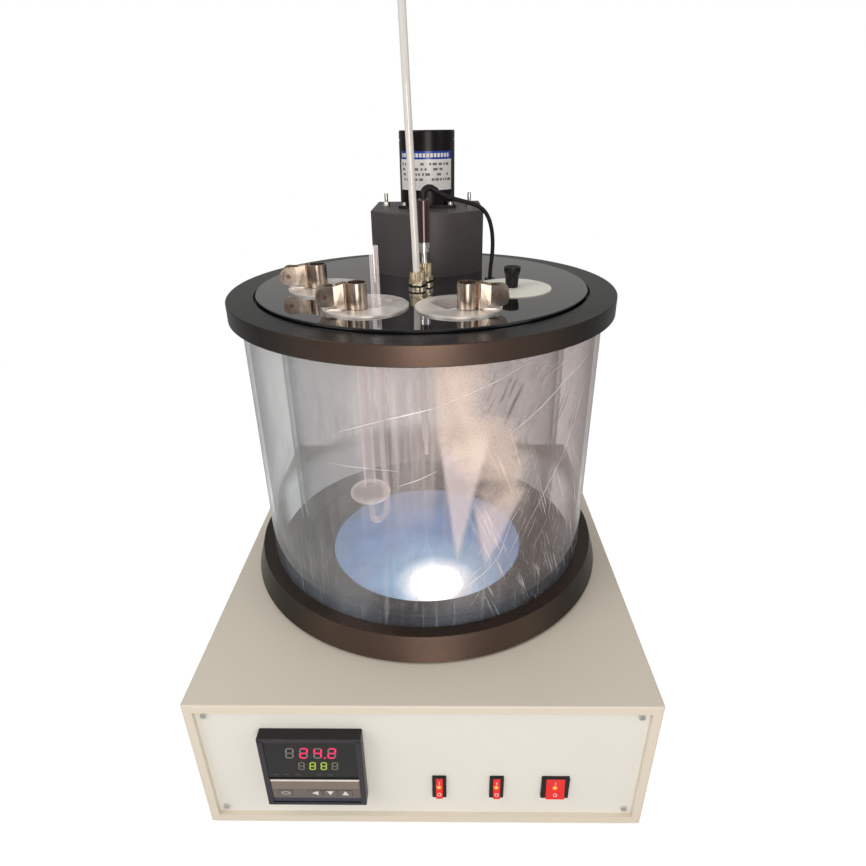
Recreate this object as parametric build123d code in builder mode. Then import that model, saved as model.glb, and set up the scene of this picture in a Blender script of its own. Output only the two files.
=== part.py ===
# Kinematic viscosity bath with a capillary viscometer hanging in its jar
# Millimetres. The origin is on the jar's axis at floor level, the front is -Y and +Z is up.
from build123d import *
from math import atan2, cos, pi, radians, sin, tan
import os

os.makedirs("parts", exist_ok=True)

# Clearances
fit_gap = 0.3
slip_gap = 0.1

# Control box
case_width = 434.0
front_reach = 250.0
back_reach = 253.5
case_height = 168.0
case_sheet = 1.5
rim_width = 9.5
rim_lip = 5.0
case_edge_radius = 2.5
case_top_radius = 1.5
screw_tab_width = 26.0
floor_flange = 12.0
panel_thickness = 2.0
panel_lap = 5.0
screw_inset = 8.0
screw_radius = 1.5
screw_length = 8.0
screw_head_radius = 3.0
screw_head_height = 2.2
foot_height = 10.0
foot_radius = 14.0
foot_inset = 46.0
foot_taper = 4.0
foot_edge = 1.2
vent_length = 46.0
vent_width = 4.0
vent_pitch = 11.0
vent_rows = 7
vent_spacing = 60.0

# Temperature controller
controller_inset = 113.7
controller_z = 94.8
bezel_size = 96.0
bezel_depth = 11.2
bezel_corner = 1.5
controller_body = 91.4
controller_depth = 76.0
display_width = 85.6
display_height = 50.0
display_rise = 17.4
display_recess = 0.6
window_thickness = 2.0
band_height = 34.6
band_drop = 26.9
band_recess = 0.9
key_width = 13.0
key_height = 8.0
key_corner = 1.2
key_drop = 30.6
key_proud = 0.4
key_thickness = 3.0
key_travel = 0.5
key_places = {"set_key": -29.6, "shift_key": -1.0, "down_key": 13.6, "up_key": 28.2}

# Rocker switches
switch_z = 61.0
switch_height = 30.0
switch_flange = 2.5
switch_body_depth = 18.0
switch_body_margin = 0.9
rocker_reach = 13.0
rocker_face = 4.3
rocker_valley = 0.9
rocker_back = 3.0
rocker_belly = 5.0
rocker_belly_rise = 5.2
rocker_tilt = 10.0
rocker_pivot_depth = 2.5
rocker_pocket = 8.9
axle_radius = 1.0
axle_stub = 1.0
switch_sizes = {"control": (201.4, 13.8, 6.8), "light": (145.5, 13.8, 6.8), "power": (88.5, 27.0, 18.0)}

# Power inlet on the back
inlet_inset = 88.5
inlet_z = 60.0
inlet_width = 27.6
inlet_height = 20.2
inlet_depth = 19.0
inlet_flange_width = 50.0
inlet_flange_height = 22.5
inlet_flange_thickness = 2.4
inlet_flange_corner = 5.0
inlet_screw_spacing = 40.0
socket_width = 24.0
socket_height = 16.4
socket_depth = 16.5
socket_chamfer = 4.5
pin_length = 11.5
pin_width = 2.0
pin_height = 4.0
pin_spacing = 7.0
pin_stagger = 2.0

# Lamp and its window in the top of the box
lamp_hole_radius = 115.0
lamp_window_radius = 121.0
lamp_window_thickness = 3.0
lamp_x = 12.0
lamp_y = -80.0
lamp_cup_radius = 30.0
lamp_cup_height = 46.0
lamp_cup_base = 16.5
lamp_wall = 1.6
lamp_post_radius = 7.0
lamp_foot_radius = 20.0
lamp_foot_thickness = 3.0
lamp_bulb_radius = 13.0
lamp_bulb_rise = 10.4

# Jars and rings
gasket_inner_radius = 118.0
gasket_thickness = 3.0
jar_radius = 148.0
jar_wall = 5.0
jar_floor = 7.0
jar_drop = 11.5
jar_edge_radius = 3.0
jar_lip_radius = 1.5
cylinder_radius = 181.9
cylinder_wall = 4.5
base_ring_radius = 202.7
base_ring_top_radius = 195.4
base_ring_height = 28.2
base_ring_undercut = 2.6
ring_floor_height = 12.0
groove_depth = 6.0
top_ring_radius = 193.6
top_ring_height = 18.2
top_ring_drop = 2.8
ring_chamfer = 0.8

# Lid
lid_radius = 165.3
lid_groove = 2.5
lid_thickness = 8.0
lid_edge = 0.6
lid_top = 497.5
plate_radius = 38.5
plate_thickness = 2.0
spigot_radius = 34.7
spigot_depth = 8.0
plate_edge = 0.5
plate_reaches = {1: 95.0, 2: 103.5, 3: 103.5}
plate_bearings = {1: 193.5, 2: 243.0, 3: 290.0}
cover_reach = 93.0
cover_bearing = 343.0
window_size = 34.0
window_corner = 6.0
window_offset = 7.5
jaw_offsets = {1: 8.5, 2: 13.5, 3: 13.5}
jaw_directions = {1: 186.0, 2: 248.0, 3: 301.0}
clip_directions = {1: 184.0, 2: 191.0, 3: 356.0}
front_sides = {1: 1, 2: 1, 3: -1}

# Viscometer clips
jaw_inner_radius = 7.5
jaw_sheet = 1.2
jaw_height = 22.0
jaw_rise = 0.4
seam_gap = 0.8
pivot_reach = 15.5
pivot_pin_radius = 1.5
tab_height = 16.8
tab_rise = 4.0
tab_reach = 35.5
tab_spread = 9.0
tab_corner = 7.6
web_spread = 5.0
web_bend = 2.5
web_flat = 1.5
ear_thickness = 1.2
ear_half_width = 3.4
ear_low = 6.6
ear_high = 16.4
bracket_width = 9.0
bracket_shift = 4.2
bracket_thickness = 1.5
bracket_collar = 1.6
pin_head = 0.9
pin_head_height = 1.2
spring_radius = 3.3
spring_wire = 0.8
spring_turns = 5

# Viscometer
arm_spacing = 24.0
arm_direction = 55.0
wide_arm_radius = 5.8
wide_arm_wall = 0.9
wide_arm_rise = 16.5
capillary_arm_radius = 3.9
capillary_bore = 0.6
neck_bore = 2.6
arm_rise = 51.0
reservoir_radius = 20.0
reservoir_half_height = 8.8
reservoir_drop = 185.0
u_tube_radius = 3.0
u_tube_bore = 1.6
u_tube_drop = 42.5
bend_overlap = 1.0
timing_bulb_radius = 7.7
timing_bulb_drop = 90.5
timing_bulb_half_height = 13.0
upper_bulb_radius = 6.6
upper_bulb_rise = 27.0
upper_bulb_half_height = 9.5
sleeve_height = 13.0
sleeve_outer_radius = 7.2

# Cover plate and knob
cover_thickness = 1.2
cover_edge = 0.5
cover_spigot_wall = 4.0
knob_foot_radius = 6.1
knob_top_radius = 7.9
knob_height = 19.5
knob_dish = 1.6
knob_rim = 1.2
knob_waist = 6.4

# Thermometer, sensor and their glands
thermometer_x = -3.4
thermometer_y = -24.0
thermometer_radius = 3.5
thermometer_drop = 187.5
thermometer_length = 452.0
thermometer_bulb_length = 17.0
thermometer_bulb_radius = 2.4
thermometer_lean = -1.8
sensor_x = 3.2
sensor_y = -5.0
probe_radius = 3.0
probe_drop = 83.5
ferrule_radius = 5.9
ferrule_height = 9.2
ferrule_rise = 31.8
ferrule_step = 0.6
ferrule_neck = 1.4
ferrule_collar = 2.6
ferrule_neck_top = 3.8
probe_edge = 0.8
handle_radius = 5.6
handle_height = 40.0
handle_edge = 1.5
boot_radius = 3.0
boot_rise = 3.8
boot_bend = 6.0
boot_turn = 122.0
boot_tail = 5.0
boot_heading = 12.0
gland_radius = 8.8
gland_stem_radius = 6.0
gland_hex = 7.4
gland_flange = 2.2
gland_lower = 6.0
gland_upper = 7.0
gland_ring = 1.3
gland_bore_gap = 0.8
gland_ring_inset = 0.4
gland_nut = 7.6
gland_nut_sides = 12
sensor_gland_extra = 5.0

# Sensor cable
cable_radius = 2.0
cable_hole_radius = 4.6
grommet_lip = 0.8
grommet_lip_height = 1.2
cable_x = 70.5
cable_y = 14.5
cable_lead_length = 7.0
cable_corner_share = 0.45
cable_bends = (
    (33.0, 1.4, 79.9),
    (45.0, 4.0, 76.7),
    (56.0, 6.6, 73.3),
    (63.5, 8.5, 67.7),
    (68.4, 10.0, 59.0),
    (71.2, 11.2, 48.5),
    (72.4, 12.4, 36.5),
    (72.2, 13.2, 24.1),
    (cable_x, cable_y, 8.5),
)

# Stirrer drive
drive_x = 5.0
drive_y = 102.0
housing_half_width = 60.0
housing_front = 24.5
housing_corner = 59.0
housing_back = 148.0
housing_height = 64.0
housing_wall = 2.0
housing_edge = 1.2
stud_spacing = 93.0
stud_radius = 2.0
stud_stand = 13.0
nut_radius = 4.0
nut_height = 3.4
washer_lip = 1.0
washer_thickness = 0.8
flange_size = 62.0
flange_thickness = 3.0
motor_radius = 30.0
motor_height = 76.0
motor_cap_height = 9.0
motor_groove = 0.7
motor_boss_radius = 11.0
motor_boss_height = 5.0
motor_screw_spacing = 50.0
motor_screw_radius = 1.8
motor_screw_end = 3.0
motor_screw_head = 3.0
flange_corner = 3.0
motor_edge = 1.5
shaft_radius = 4.0
shaft_neck_radius = 3.0
shaft_drop = 123.5
shaft_entry = 7.0
shaft_hole_radius = 12.0
coupling_radius = 9.0
coupling_height = 24.0
coupling_rise = 14.5
hub_radius = 7.0
hub_height = 12.0
blade_radius = 21.0
blade_thickness = 1.4
blade_pitch = 30.0
blade_count = 3
blade_width = 10.8
blade_corner = 3.0
heater_ring_radius = 28.0
heater_tube_radius = 4.0
heater_bend = 10.0
heater_drop = 93.5
heater_rise = 17.5
heater_opening = 60.0

# Levels that follow from the sizes above
controller_x = controller_inset - case_width / 2
inlet_x = case_width / 2 - inlet_inset
switch_places = {name: (case_width / 2 - inset, *widths) for name, (inset, *widths) in switch_sizes.items()}
case_top = foot_height + case_height
case_middle = foot_height + case_height / 2
opening_width = case_width - 2 * rim_width
opening_height = case_height - 2 * rim_width
case_inner_width = case_width - 2 * case_sheet
case_length = front_reach + back_reach
case_centre_y = (back_reach - front_reach) / 2
panel_front_y = -front_reach + rim_lip
panel_back_y = back_reach - rim_lip
panel_width = opening_width + 2 * panel_lap
panel_height = opening_height + 2 * panel_lap
bezel_front_y = panel_front_y - bezel_depth
floor_plate_z = foot_height + case_sheet
jar_bottom = case_top + gasket_thickness
ring_floor_top = case_top + ring_floor_height
base_ring_top = case_top + base_ring_height
ring_bore = jar_radius + fit_gap * 2
jar_top = lid_top - jar_drop
top_ring_top = lid_top - top_ring_drop
top_ring_bottom = top_ring_top - top_ring_height
cylinder_bottom = ring_floor_top - groove_depth + fit_gap
cylinder_top = top_ring_bottom + groove_depth - fit_gap
lid_bottom = lid_top - lid_thickness
rebate_floor = lid_bottom - fit_gap
rebate_radius = lid_radius + lid_groove
plate_top = lid_top + plate_thickness
lid_hole_radius = spigot_radius + fit_gap
jaw_outer_radius = jaw_inner_radius + jaw_sheet
motor_seat = lid_top + housing_height
motor_top = motor_seat + motor_height
jaw_root = jaw_inner_radius + jaw_sheet / 2
wide_arm_top = lid_top + wide_arm_rise
arm_top = lid_top + arm_rise
reservoir_z = lid_top - reservoir_drop
u_tube_bottom = reservoir_z - u_tube_drop
timing_bulb_z = lid_top - timing_bulb_drop
upper_bulb_z = timing_bulb_z + upper_bulb_rise
thermometer_tip_z = lid_top - thermometer_drop
probe_tip_z = lid_top - probe_drop
ferrule_z = lid_top + ferrule_rise
shaft_bottom = lid_top - shaft_drop
coupling_z = lid_top + coupling_rise
heater_z = lid_top - heater_drop
heater_top = lid_top + heater_rise


def polar(radius, angle):
    """Point on a circle about the jar's axis."""
    return radius * cos(radians(angle)), radius * sin(radians(angle))


def save(part, name):
    part.label = name
    export_step(part, f"parts/{name}.step")


plate_centres = {n: polar(reach, plate_bearings[n]) for n, reach in plate_reaches.items()}
cover_centre = polar(cover_reach, cover_bearing)
jaw_axes = {
    n: (
        plate_centres[n][0] + jaw_offset * cos(radians(jaw_directions[n])),
        plate_centres[n][1] + jaw_offset * sin(radians(jaw_directions[n])),
    )
    for n, jaw_offset in jaw_offsets.items()
}

# Case shell: folded sheet box with a framed opening at the front and at the back
front_plane = Plane.XZ.offset(front_reach)
back_plane = Plane.XZ.offset(-back_reach)
screw_places = [
    (side * (opening_width / 2 - screw_inset), case_middle + rise * (opening_height / 2 - screw_inset))
    for side in (-1, 1)
    for rise in (-1, 1)
]

with BuildPart() as case_shell:
    with BuildSketch(Plane.XY.offset(foot_height)):
        with Locations((0, case_centre_y)):
            Rectangle(case_width, case_length)
    extrude(amount=case_height)
    fillet(case_shell.edges().filter_by(Axis.Z), case_edge_radius)
    fillet(case_shell.faces().sort_by(Axis.Z)[-1].edges(), case_top_radius)
    with BuildSketch(Plane.XY.offset(foot_height + case_sheet)):
        with Locations((0, case_centre_y)):
            Rectangle(case_inner_width, case_length - 2 * case_sheet)
    extrude(amount=case_height - 2 * case_sheet, mode=Mode.SUBTRACT)
    # Floor opening, which leaves a flange for the floor plate
    with BuildSketch(Plane.XY.offset(foot_height)):
        with Locations((0, case_centre_y)):
            Rectangle(case_inner_width - 2 * floor_flange, case_length - 2 * case_sheet - 2 * floor_flange)
    extrude(amount=case_sheet, mode=Mode.SUBTRACT)
    # Front and back openings with their folded lips
    with BuildSketch(front_plane):
        with Locations((0, case_middle)):
            Rectangle(opening_width, opening_height)
    extrude(amount=-case_length, mode=Mode.SUBTRACT)
    for plane, inwards in ((front_plane, -1), (back_plane, 1)):
        with BuildSketch(plane):
            with Locations((0, case_middle)):
                Rectangle(opening_width + 2 * case_sheet, opening_height + 2 * case_sheet)
                Rectangle(opening_width, opening_height, mode=Mode.SUBTRACT)
        extrude(amount=inwards * rim_lip)
    # Tabs on the side walls that the panel screws bite into
    for y, into in ((panel_front_y + panel_thickness, -1), (panel_back_y - panel_thickness, 1)):
        with BuildSketch(Plane.XZ.offset(-y)):
            for side in (-1, 1):
                for rise in (-1, 1):
                    tab_x = side * (case_inner_width / 2 - screw_tab_width / 2)
                    with Locations((tab_x, case_middle + rise * (opening_height / 2 - screw_inset))):
                        Rectangle(screw_tab_width, 2 * screw_inset)
            with Locations(*screw_places):
                Circle(screw_radius + slip_gap, mode=Mode.SUBTRACT)
        extrude(amount=into * case_sheet)
    # Round hole under the lamp window
    with BuildSketch(Plane.XY.offset(case_top - case_sheet)):
        Circle(lamp_hole_radius)
    extrude(amount=case_sheet, mode=Mode.SUBTRACT)
save(case_shell.part, "case_shell")

with BuildPart() as base_plate:
    with BuildSketch(Plane.XY.offset(floor_plate_z)):
        with Locations((0, case_centre_y)):
            Rectangle(case_inner_width - 2 * fit_gap, case_length - 2 * case_sheet - 2 * fit_gap)
    extrude(amount=case_sheet)
save(base_plate.part, "base_plate")

# Four rubber feet under the floor flange and plate
foot_places = [
    (side * (case_width / 2 - foot_inset), case_centre_y + end * (case_length / 2 - foot_inset))
    for side in (-1, 1)
    for end in (-1, 1)
]
foot_top = floor_plate_z
with BuildPart() as feet:
    with BuildSketch():
        with Locations(*foot_places):
            Circle(foot_radius)
    extrude(amount=foot_top, taper=-foot_taper)
    fillet(feet.faces().group_by(Axis.Z)[0].edges(), foot_edge)
save(feet.part, "feet")

# Front panel with its cut-outs
with BuildPart() as front_panel:
    with BuildSketch(Plane.XZ.offset(-panel_front_y)):
        with Locations((0, case_middle)):
            Rectangle(panel_width, panel_height)
        with Locations((controller_x, controller_z)):
            Rectangle(controller_body + 2 * fit_gap, controller_body + 2 * fit_gap, mode=Mode.SUBTRACT)
        for place_x, frame_width, rocker_width in switch_places.values():
            with Locations((place_x, switch_z)):
                Rectangle(
                    frame_width - 2 * switch_body_margin + 2 * fit_gap,
                    switch_height - 2 * switch_body_margin + 2 * fit_gap,
                    mode=Mode.SUBTRACT,
                )
        with Locations(*screw_places):
            Circle(screw_radius + slip_gap, mode=Mode.SUBTRACT)
    extrude(amount=-panel_thickness)
save(front_panel.part, "front_panel")

# Back panel with vents and the hole of the power inlet
with BuildPart() as back_panel:
    with BuildSketch(Plane.XZ.offset(-panel_back_y)):
        with Locations((0, case_middle)):
            Rectangle(panel_width, panel_height)
        with Locations((inlet_x, inlet_z)):
            Rectangle(inlet_width + 2 * fit_gap, inlet_height + 2 * fit_gap, mode=Mode.SUBTRACT)
            with Locations((-inlet_screw_spacing / 2, 0), (inlet_screw_spacing / 2, 0)):
                Circle(screw_radius + slip_gap, mode=Mode.SUBTRACT)
        with Locations((-inlet_x, case_middle), (-inlet_x + vent_spacing, case_middle)):
            with GridLocations(0, vent_pitch, 1, vent_rows):
                SlotOverall(vent_length, vent_width, mode=Mode.SUBTRACT)
        with Locations(*screw_places):
            Circle(screw_radius + slip_gap, mode=Mode.SUBTRACT)
    extrude(amount=panel_thickness)
save(back_panel.part, "back_panel")

# Pan-head screws of both panels and of the inlet
inlet_screw_places = [(inlet_x + side * inlet_screw_spacing / 2, inlet_z) for side in (-1, 1)]

with BuildPart() as panel_screws:
    screw_rows = (
        (panel_front_y, 1, screw_places),
        (panel_back_y, -1, screw_places),
        (panel_back_y + inlet_flange_thickness, -1, inlet_screw_places),
    )
    for seat_y, outwards, places in screw_rows:
        with BuildSketch(Plane.XZ.offset(-seat_y)):
            with Locations(*places):
                Circle(screw_head_radius)
        extrude(amount=outwards * screw_head_height)
        with BuildSketch(Plane.XZ.offset(-seat_y)):
            with Locations(*places):
                Circle(screw_radius)
        extrude(amount=-outwards * screw_length)
save(panel_screws.part, "panel_screws")

# Power inlet: moulded body with a blind socket and three pins
inlet_face_y = panel_back_y + inlet_flange_thickness
inlet_pins = (
    (inlet_x - pin_spacing, inlet_z - pin_stagger),
    (inlet_x, inlet_z + pin_stagger),
    (inlet_x + pin_spacing, inlet_z - pin_stagger),
)
with BuildPart() as power_inlet:
    with BuildSketch(Plane.XZ.offset(-inlet_face_y)):
        with Locations((inlet_x, inlet_z)):
            RectangleRounded(inlet_flange_width, inlet_flange_height, inlet_flange_corner)
            with Locations((-inlet_screw_spacing / 2, 0), (inlet_screw_spacing / 2, 0)):
                Circle(screw_radius + slip_gap, mode=Mode.SUBTRACT)
    extrude(amount=inlet_flange_thickness)
    with BuildSketch(Plane.XZ.offset(-panel_back_y)):
        with Locations((inlet_x, inlet_z)):
            Rectangle(inlet_width, inlet_height)
    extrude(amount=inlet_depth)
    with BuildSketch(Plane.XZ.offset(-inlet_face_y)) as socket_outline:
        with Locations((inlet_x, inlet_z)):
            Rectangle(socket_width, socket_height)
        chamfer(socket_outline.vertices().group_by(Axis.Z)[-1], socket_chamfer)
    extrude(amount=socket_depth, mode=Mode.SUBTRACT)
    with BuildSketch(Plane.XZ.offset(-inlet_face_y + socket_depth)):
        with Locations(*inlet_pins):
            Rectangle(pin_width, pin_height)
    extrude(amount=-pin_length)
save(power_inlet.part, "power_inlet")

# Controller: moulded bezel and body in one, with a window rebate and four key pockets
key_front_y = bezel_front_y + band_recess - key_proud
key_pocket_depth = key_thickness - key_proud + key_travel + fit_gap
with BuildPart() as controller:
    with BuildSketch(Plane.XZ.offset(-bezel_front_y)):
        with Locations((controller_x, controller_z)):
            RectangleRounded(bezel_size, bezel_size, bezel_corner)
    extrude(amount=-bezel_depth)
    with BuildSketch(Plane.XZ.offset(-panel_front_y)):
        with Locations((controller_x, controller_z)):
            Rectangle(controller_body, controller_body)
    extrude(amount=-controller_depth)
    with BuildSketch(Plane.XZ.offset(-bezel_front_y)):
        with Locations((controller_x, controller_z + display_rise)):
            Rectangle(display_width + 2 * slip_gap, display_height + 2 * slip_gap)
    extrude(amount=-(display_recess + window_thickness), mode=Mode.SUBTRACT)
    with BuildSketch(Plane.XZ.offset(-bezel_front_y)):
        with Locations((controller_x, controller_z - band_drop)):
            Rectangle(display_width, band_height)
    extrude(amount=-band_recess, mode=Mode.SUBTRACT)
    with BuildSketch(Plane.XZ.offset(-bezel_front_y - band_recess)):
        for key_x in key_places.values():
            with Locations((controller_x + key_x, controller_z - key_drop)):
                Rectangle(key_width + 2 * fit_gap, key_height + 2 * fit_gap)
    extrude(amount=-key_pocket_depth, mode=Mode.SUBTRACT)
save(controller.part, "controller")

with BuildPart() as display_window:
    with BuildSketch(Plane.XZ.offset(-bezel_front_y - display_recess)):
        with Locations((controller_x, controller_z + display_rise)):
            Rectangle(display_width, display_height)
    extrude(amount=-window_thickness)
save(display_window.part, "display_window")

for key_name, key_x in key_places.items():
    with BuildPart() as key:
        with BuildSketch(Plane.XZ.offset(-key_front_y)):
            with Locations((controller_x + key_x, controller_z - key_drop)):
                RectangleRounded(key_width, key_height, key_corner)
        extrude(amount=-key_thickness)
    save(key.part, key_name)

# Rocker switches: frame with a pocket, and a rocker that rests in the on position
frame_face_y = panel_front_y - switch_flange
rocker_pivot_y = frame_face_y + rocker_pivot_depth
face_rise = (rocker_reach**2 - rocker_face**2) ** 0.5
back_rise = (rocker_reach**2 - rocker_back**2) ** 0.5


def rocker_point(depth, rise):
    """Point of the rocker's side outline, counted from its axle."""
    return rocker_pivot_y + depth, switch_z + rise


for switch_name, (place_x, frame_width, rocker_width) in switch_places.items():
    with BuildPart() as switch_frame:
        with BuildSketch(Plane.XZ.offset(-frame_face_y)):
            with Locations((place_x, switch_z)):
                RectangleRounded(frame_width, switch_height, 1)
        extrude(amount=-switch_flange)
        with BuildSketch(Plane.XZ.offset(-panel_front_y)):
            with Locations((place_x, switch_z)):
                Rectangle(frame_width - 2 * switch_body_margin, switch_height - 2 * switch_body_margin)
        extrude(amount=-switch_body_depth)
        with BuildSketch(Plane.XZ.offset(-frame_face_y)):
            with Locations((place_x, switch_z)):
                Rectangle(rocker_width + 2 * fit_gap, 2 * (rocker_reach + fit_gap))
        extrude(amount=-rocker_pocket, mode=Mode.SUBTRACT)
        with BuildSketch(Plane.YZ.offset(place_x)):
            with Locations((rocker_pivot_y, switch_z)):
                Circle(axle_radius + slip_gap)
        extrude(amount=rocker_width / 2 + axle_stub, both=True, mode=Mode.SUBTRACT)
    save(switch_frame.part, f"{switch_name}_switch_frame")

    # The ends of the rocker are round about its axle, so the gap stays the same as it tips
    with BuildPart() as rocker:
        with BuildSketch(Plane.YZ.offset(place_x)):
            with BuildLine():
                Polyline(
                    rocker_point(-rocker_face, face_rise),
                    rocker_point(rocker_valley - rocker_face, 0),
                    rocker_point(-rocker_face, -face_rise),
                )
                ThreePointArc(
                    rocker_point(-rocker_face, -face_rise),
                    rocker_point(0, -rocker_reach),
                    rocker_point(rocker_back, -back_rise),
                )
                Polyline(
                    rocker_point(rocker_back, -back_rise),
                    rocker_point(rocker_belly, -rocker_belly_rise),
                    rocker_point(rocker_belly, rocker_belly_rise),
                    rocker_point(rocker_back, back_rise),
                )
                ThreePointArc(
                    rocker_point(rocker_back, back_rise),
                    rocker_point(0, rocker_reach),
                    rocker_point(-rocker_face, face_rise),
                )
            make_face()
        extrude(amount=rocker_width / 2, both=True)
        with BuildSketch(Plane.YZ.offset(place_x)):
            with Locations((rocker_pivot_y, switch_z)):
                Circle(axle_radius)
        extrude(amount=rocker_width / 2 + axle_stub - slip_gap, both=True)
    pivot = Axis((place_x, rocker_pivot_y, switch_z), (1, 0, 0))
    save(rocker.part.rotate(pivot, -rocker_tilt), f"{switch_name}_rocker")

# Lamp window under the box's top sheet, and the lamp below it
with BuildPart() as lamp_window:
    with BuildSketch(Plane.XY.offset(case_top - case_sheet - lamp_window_thickness)):
        Circle(lamp_window_radius)
    extrude(amount=lamp_window_thickness)
save(lamp_window.part, "lamp_window")

lamp_foot_z = floor_plate_z + case_sheet
lamp_rim_z = case_top - case_sheet - lamp_window_thickness - fit_gap
cup_floor_z = lamp_rim_z - lamp_cup_height
lamp_plane = Plane(origin=(lamp_x, lamp_y, 0), x_dir=(1, 0, 0), z_dir=(0, -1, 0))
with BuildPart() as lamp:
    with BuildSketch(lamp_plane):
        with BuildLine():
            Polyline(
                (0, lamp_foot_z),
                (lamp_foot_radius, lamp_foot_z),
                (lamp_foot_radius, lamp_foot_z + lamp_foot_thickness),
                (lamp_post_radius, lamp_foot_z + lamp_foot_thickness),
                (lamp_post_radius, cup_floor_z),
                (lamp_cup_base, cup_floor_z),
                (lamp_cup_radius, lamp_rim_z),
                (lamp_cup_radius - lamp_wall, lamp_rim_z),
                (lamp_cup_base - lamp_wall, cup_floor_z + lamp_wall),
                (0, cup_floor_z + lamp_wall),
                close=True,
            )
        make_face()
    revolve(axis=Axis((lamp_x, lamp_y, 0), (0, 0, 1)))
    with Locations((lamp_x, lamp_y, cup_floor_z + lamp_wall + lamp_bulb_rise)):
        Sphere(lamp_bulb_radius)
save(lamp.part, "lamp")

# Seat gasket, inner jar and outer cylinder
with BuildPart() as seat_gasket:
    with BuildSketch(Plane.XY.offset(case_top)):
        Circle(jar_radius)
        Circle(gasket_inner_radius, mode=Mode.SUBTRACT)
    extrude(amount=gasket_thickness)
save(seat_gasket.part, "seat_gasket")

with BuildPart() as inner_jar:
    with BuildSketch(Plane.XY.offset(jar_bottom)):
        Circle(jar_radius)
    extrude(amount=jar_top - jar_bottom)
    fillet(inner_jar.faces().sort_by(Axis.Z)[0].edges(), jar_edge_radius)
    with BuildSketch(Plane.XY.offset(jar_bottom + jar_floor)):
        Circle(jar_radius - jar_wall)
    extrude(amount=jar_top - jar_bottom, mode=Mode.SUBTRACT)
    fillet(inner_jar.faces().sort_by(Axis.Z)[-1].edges(), jar_lip_radius)
save(inner_jar.part, "inner_jar")

with BuildPart() as outer_cylinder:
    with BuildSketch(Plane.XY.offset(cylinder_bottom)):
        Circle(cylinder_radius)
        Circle(cylinder_radius - cylinder_wall, mode=Mode.SUBTRACT)
    extrude(amount=cylinder_top - cylinder_bottom)
save(outer_cylinder.part, "outer_cylinder")

# Base ring: tapered outside, grooved for the cylinder, with a low inner floor round the jar
groove_outer = cylinder_radius + fit_gap
groove_inner = cylinder_radius - cylinder_wall - fit_gap
with BuildPart() as base_ring:
    with BuildSketch(Plane.XZ):
        with BuildLine():
            Polyline(
                (ring_bore, case_top),
                (base_ring_radius - base_ring_undercut, case_top),
                (base_ring_radius - base_ring_undercut, case_top + base_ring_undercut),
                (base_ring_radius, case_top + base_ring_undercut),
                (base_ring_top_radius, base_ring_top),
                (groove_outer, base_ring_top),
                (groove_outer, ring_floor_top - groove_depth),
                (groove_inner, ring_floor_top - groove_depth),
                (groove_inner, ring_floor_top),
                (ring_bore, ring_floor_top),
                close=True,
            )
        make_face()
    revolve(axis=Axis.Z)
save(base_ring.part, "base_ring")

# Top ring: grooved below for the cylinder, rebated above for the lid
with BuildPart() as top_ring:
    with BuildSketch(Plane.XZ):
        with BuildLine():
            Polyline(
                (ring_bore, top_ring_bottom),
                (groove_inner, top_ring_bottom),
                (groove_inner, top_ring_bottom + groove_depth),
                (groove_outer, top_ring_bottom + groove_depth),
                (groove_outer, top_ring_bottom),
                (top_ring_radius - ring_chamfer, top_ring_bottom),
                (top_ring_radius, top_ring_bottom + ring_chamfer),
                (top_ring_radius, top_ring_top - ring_chamfer),
                (top_ring_radius - ring_chamfer, top_ring_top),
                (rebate_radius, top_ring_top),
                (rebate_radius, rebate_floor),
                (ring_bore, rebate_floor),
                close=True,
            )
        make_face()
    revolve(axis=Axis.Z)
save(top_ring.part, "top_ring")

# Lid with the holes of the plates, the glands, the cable, the stirrer and the heater
opening_half = radians(heater_opening / 2)
riser_offset = heater_ring_radius * sin(opening_half) - heater_bend * cos(opening_half)
riser_back = heater_ring_radius * cos(opening_half) + heater_bend * sin(opening_half)
riser_places = [(drive_x + side * abs(riser_offset), drive_y + riser_back) for side in (-1, 1)]
stud_places = [(drive_x + side * stud_spacing / 2, drive_y) for side in (-1, 1)]

with BuildPart() as lid:
    with BuildSketch(Plane.XY.offset(lid_bottom)):
        Circle(lid_radius)
        with Locations(*plate_centres.values(), cover_centre):
            Circle(lid_hole_radius, mode=Mode.SUBTRACT)
        with Locations((thermometer_x, thermometer_y), (sensor_x, sensor_y)):
            Circle(gland_stem_radius + fit_gap, mode=Mode.SUBTRACT)
        with Locations((cable_x, cable_y)):
            Circle(cable_hole_radius, mode=Mode.SUBTRACT)
        with Locations((drive_x, drive_y)):
            Circle(shaft_hole_radius, mode=Mode.SUBTRACT)
        with Locations(*riser_places):
            Circle(heater_tube_radius + fit_gap, mode=Mode.SUBTRACT)
        with Locations(*stud_places):
            Circle(stud_radius + slip_gap, mode=Mode.SUBTRACT)
    extrude(amount=lid_thickness)
    rim_edges = lid.edges().filter_by(GeomType.CIRCLE).filter_by(lambda edge: edge.radius > lid_radius - 1)
    chamfer(rim_edges, lid_edge)
save(lid.part, "lid")

# Grommet that seats in the cable hole, with a lip on the lid
with BuildPart() as cable_grommet:
    grommet_plane = Plane(origin=(cable_x, cable_y, 0), x_dir=(1, 0, 0), z_dir=(0, -1, 0))
    with BuildSketch(grommet_plane):
        with BuildLine():
            Polyline(
                (cable_radius + slip_gap, lid_bottom),
                (cable_hole_radius - slip_gap, lid_bottom),
                (cable_hole_radius - slip_gap, lid_top),
                (cable_hole_radius + grommet_lip, lid_top),
                (cable_hole_radius + grommet_lip / 2, lid_top + grommet_lip_height),
                (cable_radius + slip_gap, lid_top + grommet_lip_height),
                close=True,
            )
        make_face()
    revolve(axis=Axis((cable_x, cable_y, 0), (0, 0, 1)))
save(cable_grommet.part, "cable_grommet")

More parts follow.
